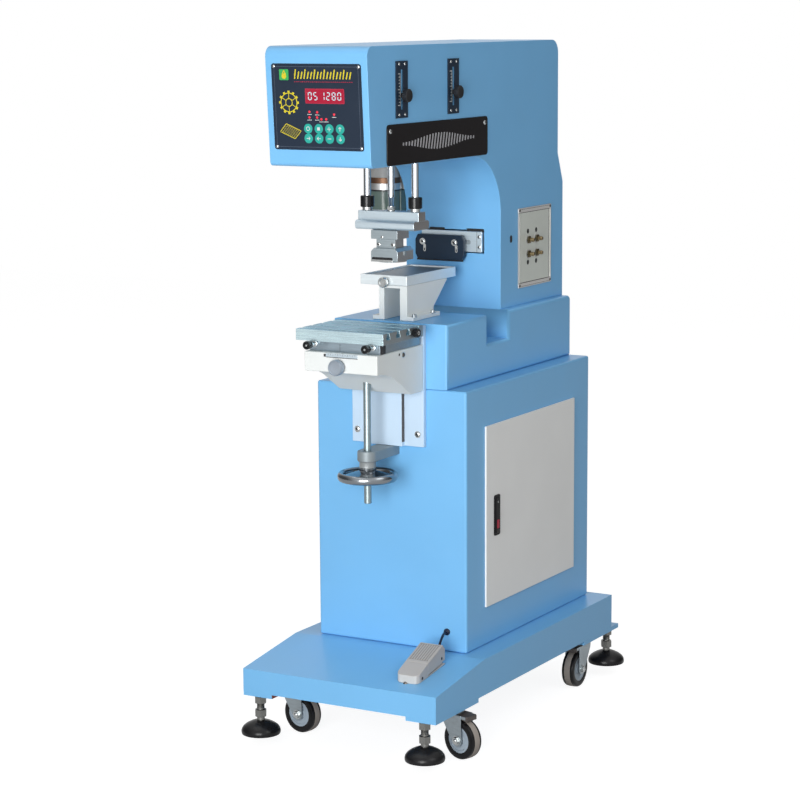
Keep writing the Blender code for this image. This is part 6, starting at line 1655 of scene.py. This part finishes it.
def makeFork(corner, wheelMiddle, swing):
    node = "caster_fork_" + corner
    bm = nodeShape(node)
    soften(bm, 0.0007, 2, 50)
    axis = wheelMiddle - swing @ Vector((casterSet["trail"], 0, wheelMiddle.z))
    place = Matrix.Translation(axis) @ swing
    back = place.inverted()
    for face in bm.faces:
        middle = back @ face.calc_center_median()
        if middle.x > 0.022 and abs(middle.y) < 0.010 and middle.z > 0.078:
            face.material_index = 1
    start, end = casterSet["lever"]
    addBlock(bm, (start, -0.0140, 0.0755), (end, 0.0140, 0.0850), 1, 0.0015, place)
    for side in (-1, 1):
        along = Vector((1, 0, 0)) if side < 0 else Vector((-1, 0, 0))
        centre = Vector((casterSet["trail"], side * casterSet["axleReach"], wheelMiddle.z))
        plane = place @ facePlane(centre, along, (0, 0, 1))
        addRing(bm, plane, (0, 0), 0.0062, 0.0050, (0, 0.0010), 28, 2)
        addHex(bm, plane, (0, 0), 0.0008, 0.0070, 0.0040, 2)
        addTurned(bm, [(0, 0.0022), (0.0026, 0.0018), (0.0036, 0.0008), (0.0036, 0), (0, 0)], (0, 0, 0.0046), steps=24, material=2,
                  plane=plane)
    makePiece(node + "_shape", bm, [zinc, leverBrown, screwSteel], node)


def makeFeet():
    for node in (name for name in frame["nodes"] if name.startswith("levelling_foot")):
        low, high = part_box(node)
        middle = (low + high) / 2
        foot = Vector((middle.x, middle.y, 0))
        plane = Matrix.Translation(foot)
        bm = bmesh.new()
        addTurned(bm, footSet["pad"], foot, steps=64)
        stem = footSet["stem"]
        pitch = footSet["pitch"]
        start, end = footSet["threads"]
        profile = [(0, high.z), (stem - 0.0008, high.z), (stem, high.z - 0.0008), (stem, end)]
        for step in range(int((end - start) / pitch)):
            z = end - step * pitch
            profile += [(stem - 0.0007, z - pitch * 0.5), (stem, z - pitch)]
        profile += [(stem, start), (stem, 0.0475), (0, 0.0475)]
        addTurned(bm, profile, foot, steps=40, material=1)
        nutRadius, nutHeight = footSet["nut"]
        for base in footSet["nuts"]:
            addHex(bm, plane, (0, 0), base, nutRadius, nutHeight, 1)
        makePiece(node + "_turned", bm, [padBlack, placed(steelStem, foot)], node)


makeCasters()
makeFeet()
print("casters and feet made")


# Filter regulator on the left of the neck
regulatorSet = {
    "radius": 0.031,
    "bowl": 0.0300,
    "bowlTop": 1.0165,
    "silverTop": 1.0290,
    "bronzeTop": 1.0400,
    "armHeights": (1.0160, 1.0390),
    "armDepths": (0.0170, 0.0430),          # behind the axis
}


def makeRegulator():
    low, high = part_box("filter_regulator")
    radius = regulatorSet["radius"]
    bowl = regulatorSet["bowl"]
    place = Vector((low.x + radius, low.y + radius, 0))
    bowlTop = regulatorSet["bowlTop"]
    silverTop = regulatorSet["silverTop"]
    bronzeTop = regulatorSet["bronzeTop"]
    parts = [
        [(0, bowlTop - 0.0030), (bowl, bowlTop - 0.0030), (bowl, low.z + 0.0120), (bowl - 0.0025, low.z + 0.0060),
         (bowl - 0.0090, low.z + 0.0005), (0.0060, low.z), (0, low.z)],
        [(0, bowlTop), (radius, bowlTop), (radius, bowlTop - 0.0030), (0, bowlTop - 0.0030)],
        [(0, silverTop), (radius - 0.0004, silverTop), (radius, silverTop - 0.0006), (radius, bowlTop), (0, bowlTop)],
        [(0, bronzeTop), (radius - 0.0006, bronzeTop), (radius, bronzeTop - 0.0008), (radius, silverTop), (0, silverTop)],
    ]
    bm = bmesh.new()
    for index, profile in enumerate(parts):
        addTurned(bm, profile, place, steps=64, material=index)
    knob = [(0, high.z), (radius * 0.80, high.z), (radius * 0.92, high.z - 0.0020), (radius * 0.95, high.z - 0.0060),
            (radius * 0.97, bronzeTop), (0, bronzeTop)]
    addTurned(bm, knob, place, steps=64, material=4, knurl=(bronzeTop - 0.001, high.z - 0.0050, 0.0006))
    near, far = regulatorSet["armDepths"]
    lowZ, highZ = regulatorSet["armHeights"]
    addBlock(bm, (place.x, place.y + near, lowZ), (high.x, place.y + far, highZ), 2, 0.0008)
    addBlock(bm, (place.x, place.y + 0.004, low.z + 0.0020), (high.x, place.y + far, lowZ - 0.0008), 0, 0.0030)
    materials = [glassBowl, blackPlastic, placed(bandSilver, place), placed(bandBronze, place), regulatorGrey]
    makePiece("filter_regulator_turned", bm, materials, "filter_regulator")


makeRegulator()
print("regulator made")


# Floor, backdrop and lights
stageSet = {
    "floor": 6.0,
    "floorColor": (0.34, 0.34, 0.34),
    "floorGlow": 0.89,
    "floorShade": 0.50,   # what metal and gloss see of the floor
    "worldLight": 0.30,
    "sideShade": 0.15,    # what metal and gloss see at the sides
    "key": {"place": (0.85, -3.25, 0.98), "size": 1.6, "power": 93.0},
    "fill": {"place": (3.2, -0.4, 3.1), "size": 1.8, "power": 23.0},
    "top": {"place": (-0.6, -0.6, 4.0), "size": 2.4, "power": 17.0},
    "low": {"place": (0.25, -1.70, 0.22), "size": 0.7, "power": 0.5, "aim": (0, 0.15, 1.05), "spread": 55},
}


def whiteForLooks(tree):
    # 1 where the camera, a reflection or clear glass looks at it
    rays = tree.nodes.new("ShaderNodeLightPath")
    seen = addMath(tree, "ADD", rays.outputs["Is Camera Ray"], rays.outputs["Is Glossy Ray"])
    return addMath(tree, "ADD", seen, rays.outputs["Is Transmission Ray"], clamp=True), rays.outputs["Is Glossy Ray"]


def makeFloor():
    bm = bmesh.new()
    bmesh.ops.create_grid(bm, x_segments=1, y_segments=1, size=stageSet["floor"])
    mesh = bpy.data.meshes.new("floor")
    bm.to_mesh(mesh)
    bm.free()
    floor = bpy.data.objects.new("floor", mesh)
    scene.collection.objects.link(floor)
    material = bpy.data.materials.new("floorWhite")
    material.use_nodes = True
    tree = material.node_tree
    tree.nodes.remove(tree.nodes["Principled BSDF"])
    seen, gloss = whiteForLooks(tree)
    matt = tree.nodes.new("ShaderNodeBsdfDiffuse")
    matt.inputs["Color"].default_value = (*stageSet["floorColor"], 1.0)
    glow = tree.nodes.new("ShaderNodeEmission")
    shade = addRange(tree, gloss, 0.0, 1.0, stageSet["floorGlow"], stageSet["floorShade"])
    tree.links.new(addMath(tree, "MULTIPLY", seen, shade), glow.inputs["Strength"])
    both = tree.nodes.new("ShaderNodeAddShader")
    tree.links.new(matt.outputs[0], both.inputs[0])
    tree.links.new(glow.outputs[0], both.inputs[1])
    tree.links.new(both.outputs[0], tree.nodes["Material Output"].inputs["Surface"])
    mesh.materials.append(material)


def makeWorld():
    # even light; reflections also find a darker studio wall on either side
    world = bpy.data.worlds.new("studio")
    world.use_nodes = True
    scene.world = world
    tree = world.node_tree
    seen, gloss = whiteForLooks(tree)
    azimuth = math.radians(cameraSet["azimuth"])
    away = tree.nodes.new("ShaderNodeTexCoord").outputs["Generated"]
    parts = []
    for direction in ((math.cos(azimuth), math.sin(azimuth), 0), (-math.sin(azimuth), math.cos(azimuth), 0)):
        dot = tree.nodes.new("ShaderNodeVectorMath")
        dot.operation = "DOT_PRODUCT"
        dot.inputs[1].default_value = direction
        tree.links.new(away, dot.inputs[0])
        parts.append(dot.outputs["Value"])
    sideways = addMath(tree, "MULTIPLY_ADD", parts[1], 0.35, addMath(tree, "ABSOLUTE", parts[0], 0.0))
    wall = addMath(tree, "MULTIPLY", addRange(tree, sideways, 0.5, 0.95, 0.0, 1.0), gloss, clamp=True)
    plain = addRange(tree, seen, 0.0, 1.0, stageSet["worldLight"], 1.0)
    shaded = addMath(tree, "MULTIPLY", plain, addRange(tree, wall, 0.0, 1.0, 1.0, stageSet["sideShade"]))
    background = tree.nodes["Background"]
    background.inputs["Color"].default_value = (1, 1, 1, 1)
    tree.links.new(shaded, background.inputs["Strength"])


def makeLamp(name):
    settings = stageSet[name]
    light = bpy.data.lights.new(name, "AREA")
    light.shape = "SQUARE"
    light.size = settings["size"]
    light.energy = settings["power"]
    lamp = bpy.data.objects.new(name, light)
    light.spread = math.radians(settings.get("spread", 180))
    place = machineZero + Vector(settings["place"])
    aim = machineZero + Vector(settings.get("aim", (0, 0, 0.7))) - place
    lamp.matrix_world = Matrix.Translation(place) @ aim.to_track_quat("-Z", "Y").to_matrix().to_4x4()
    scene.collection.objects.link(lamp)


makeFloor()
makeWorld()
for lampName in ("key", "fill", "top", "low"):
    makeLamp(lampName)
scene.view_settings.view_transform = "Standard"
print("stage lit")
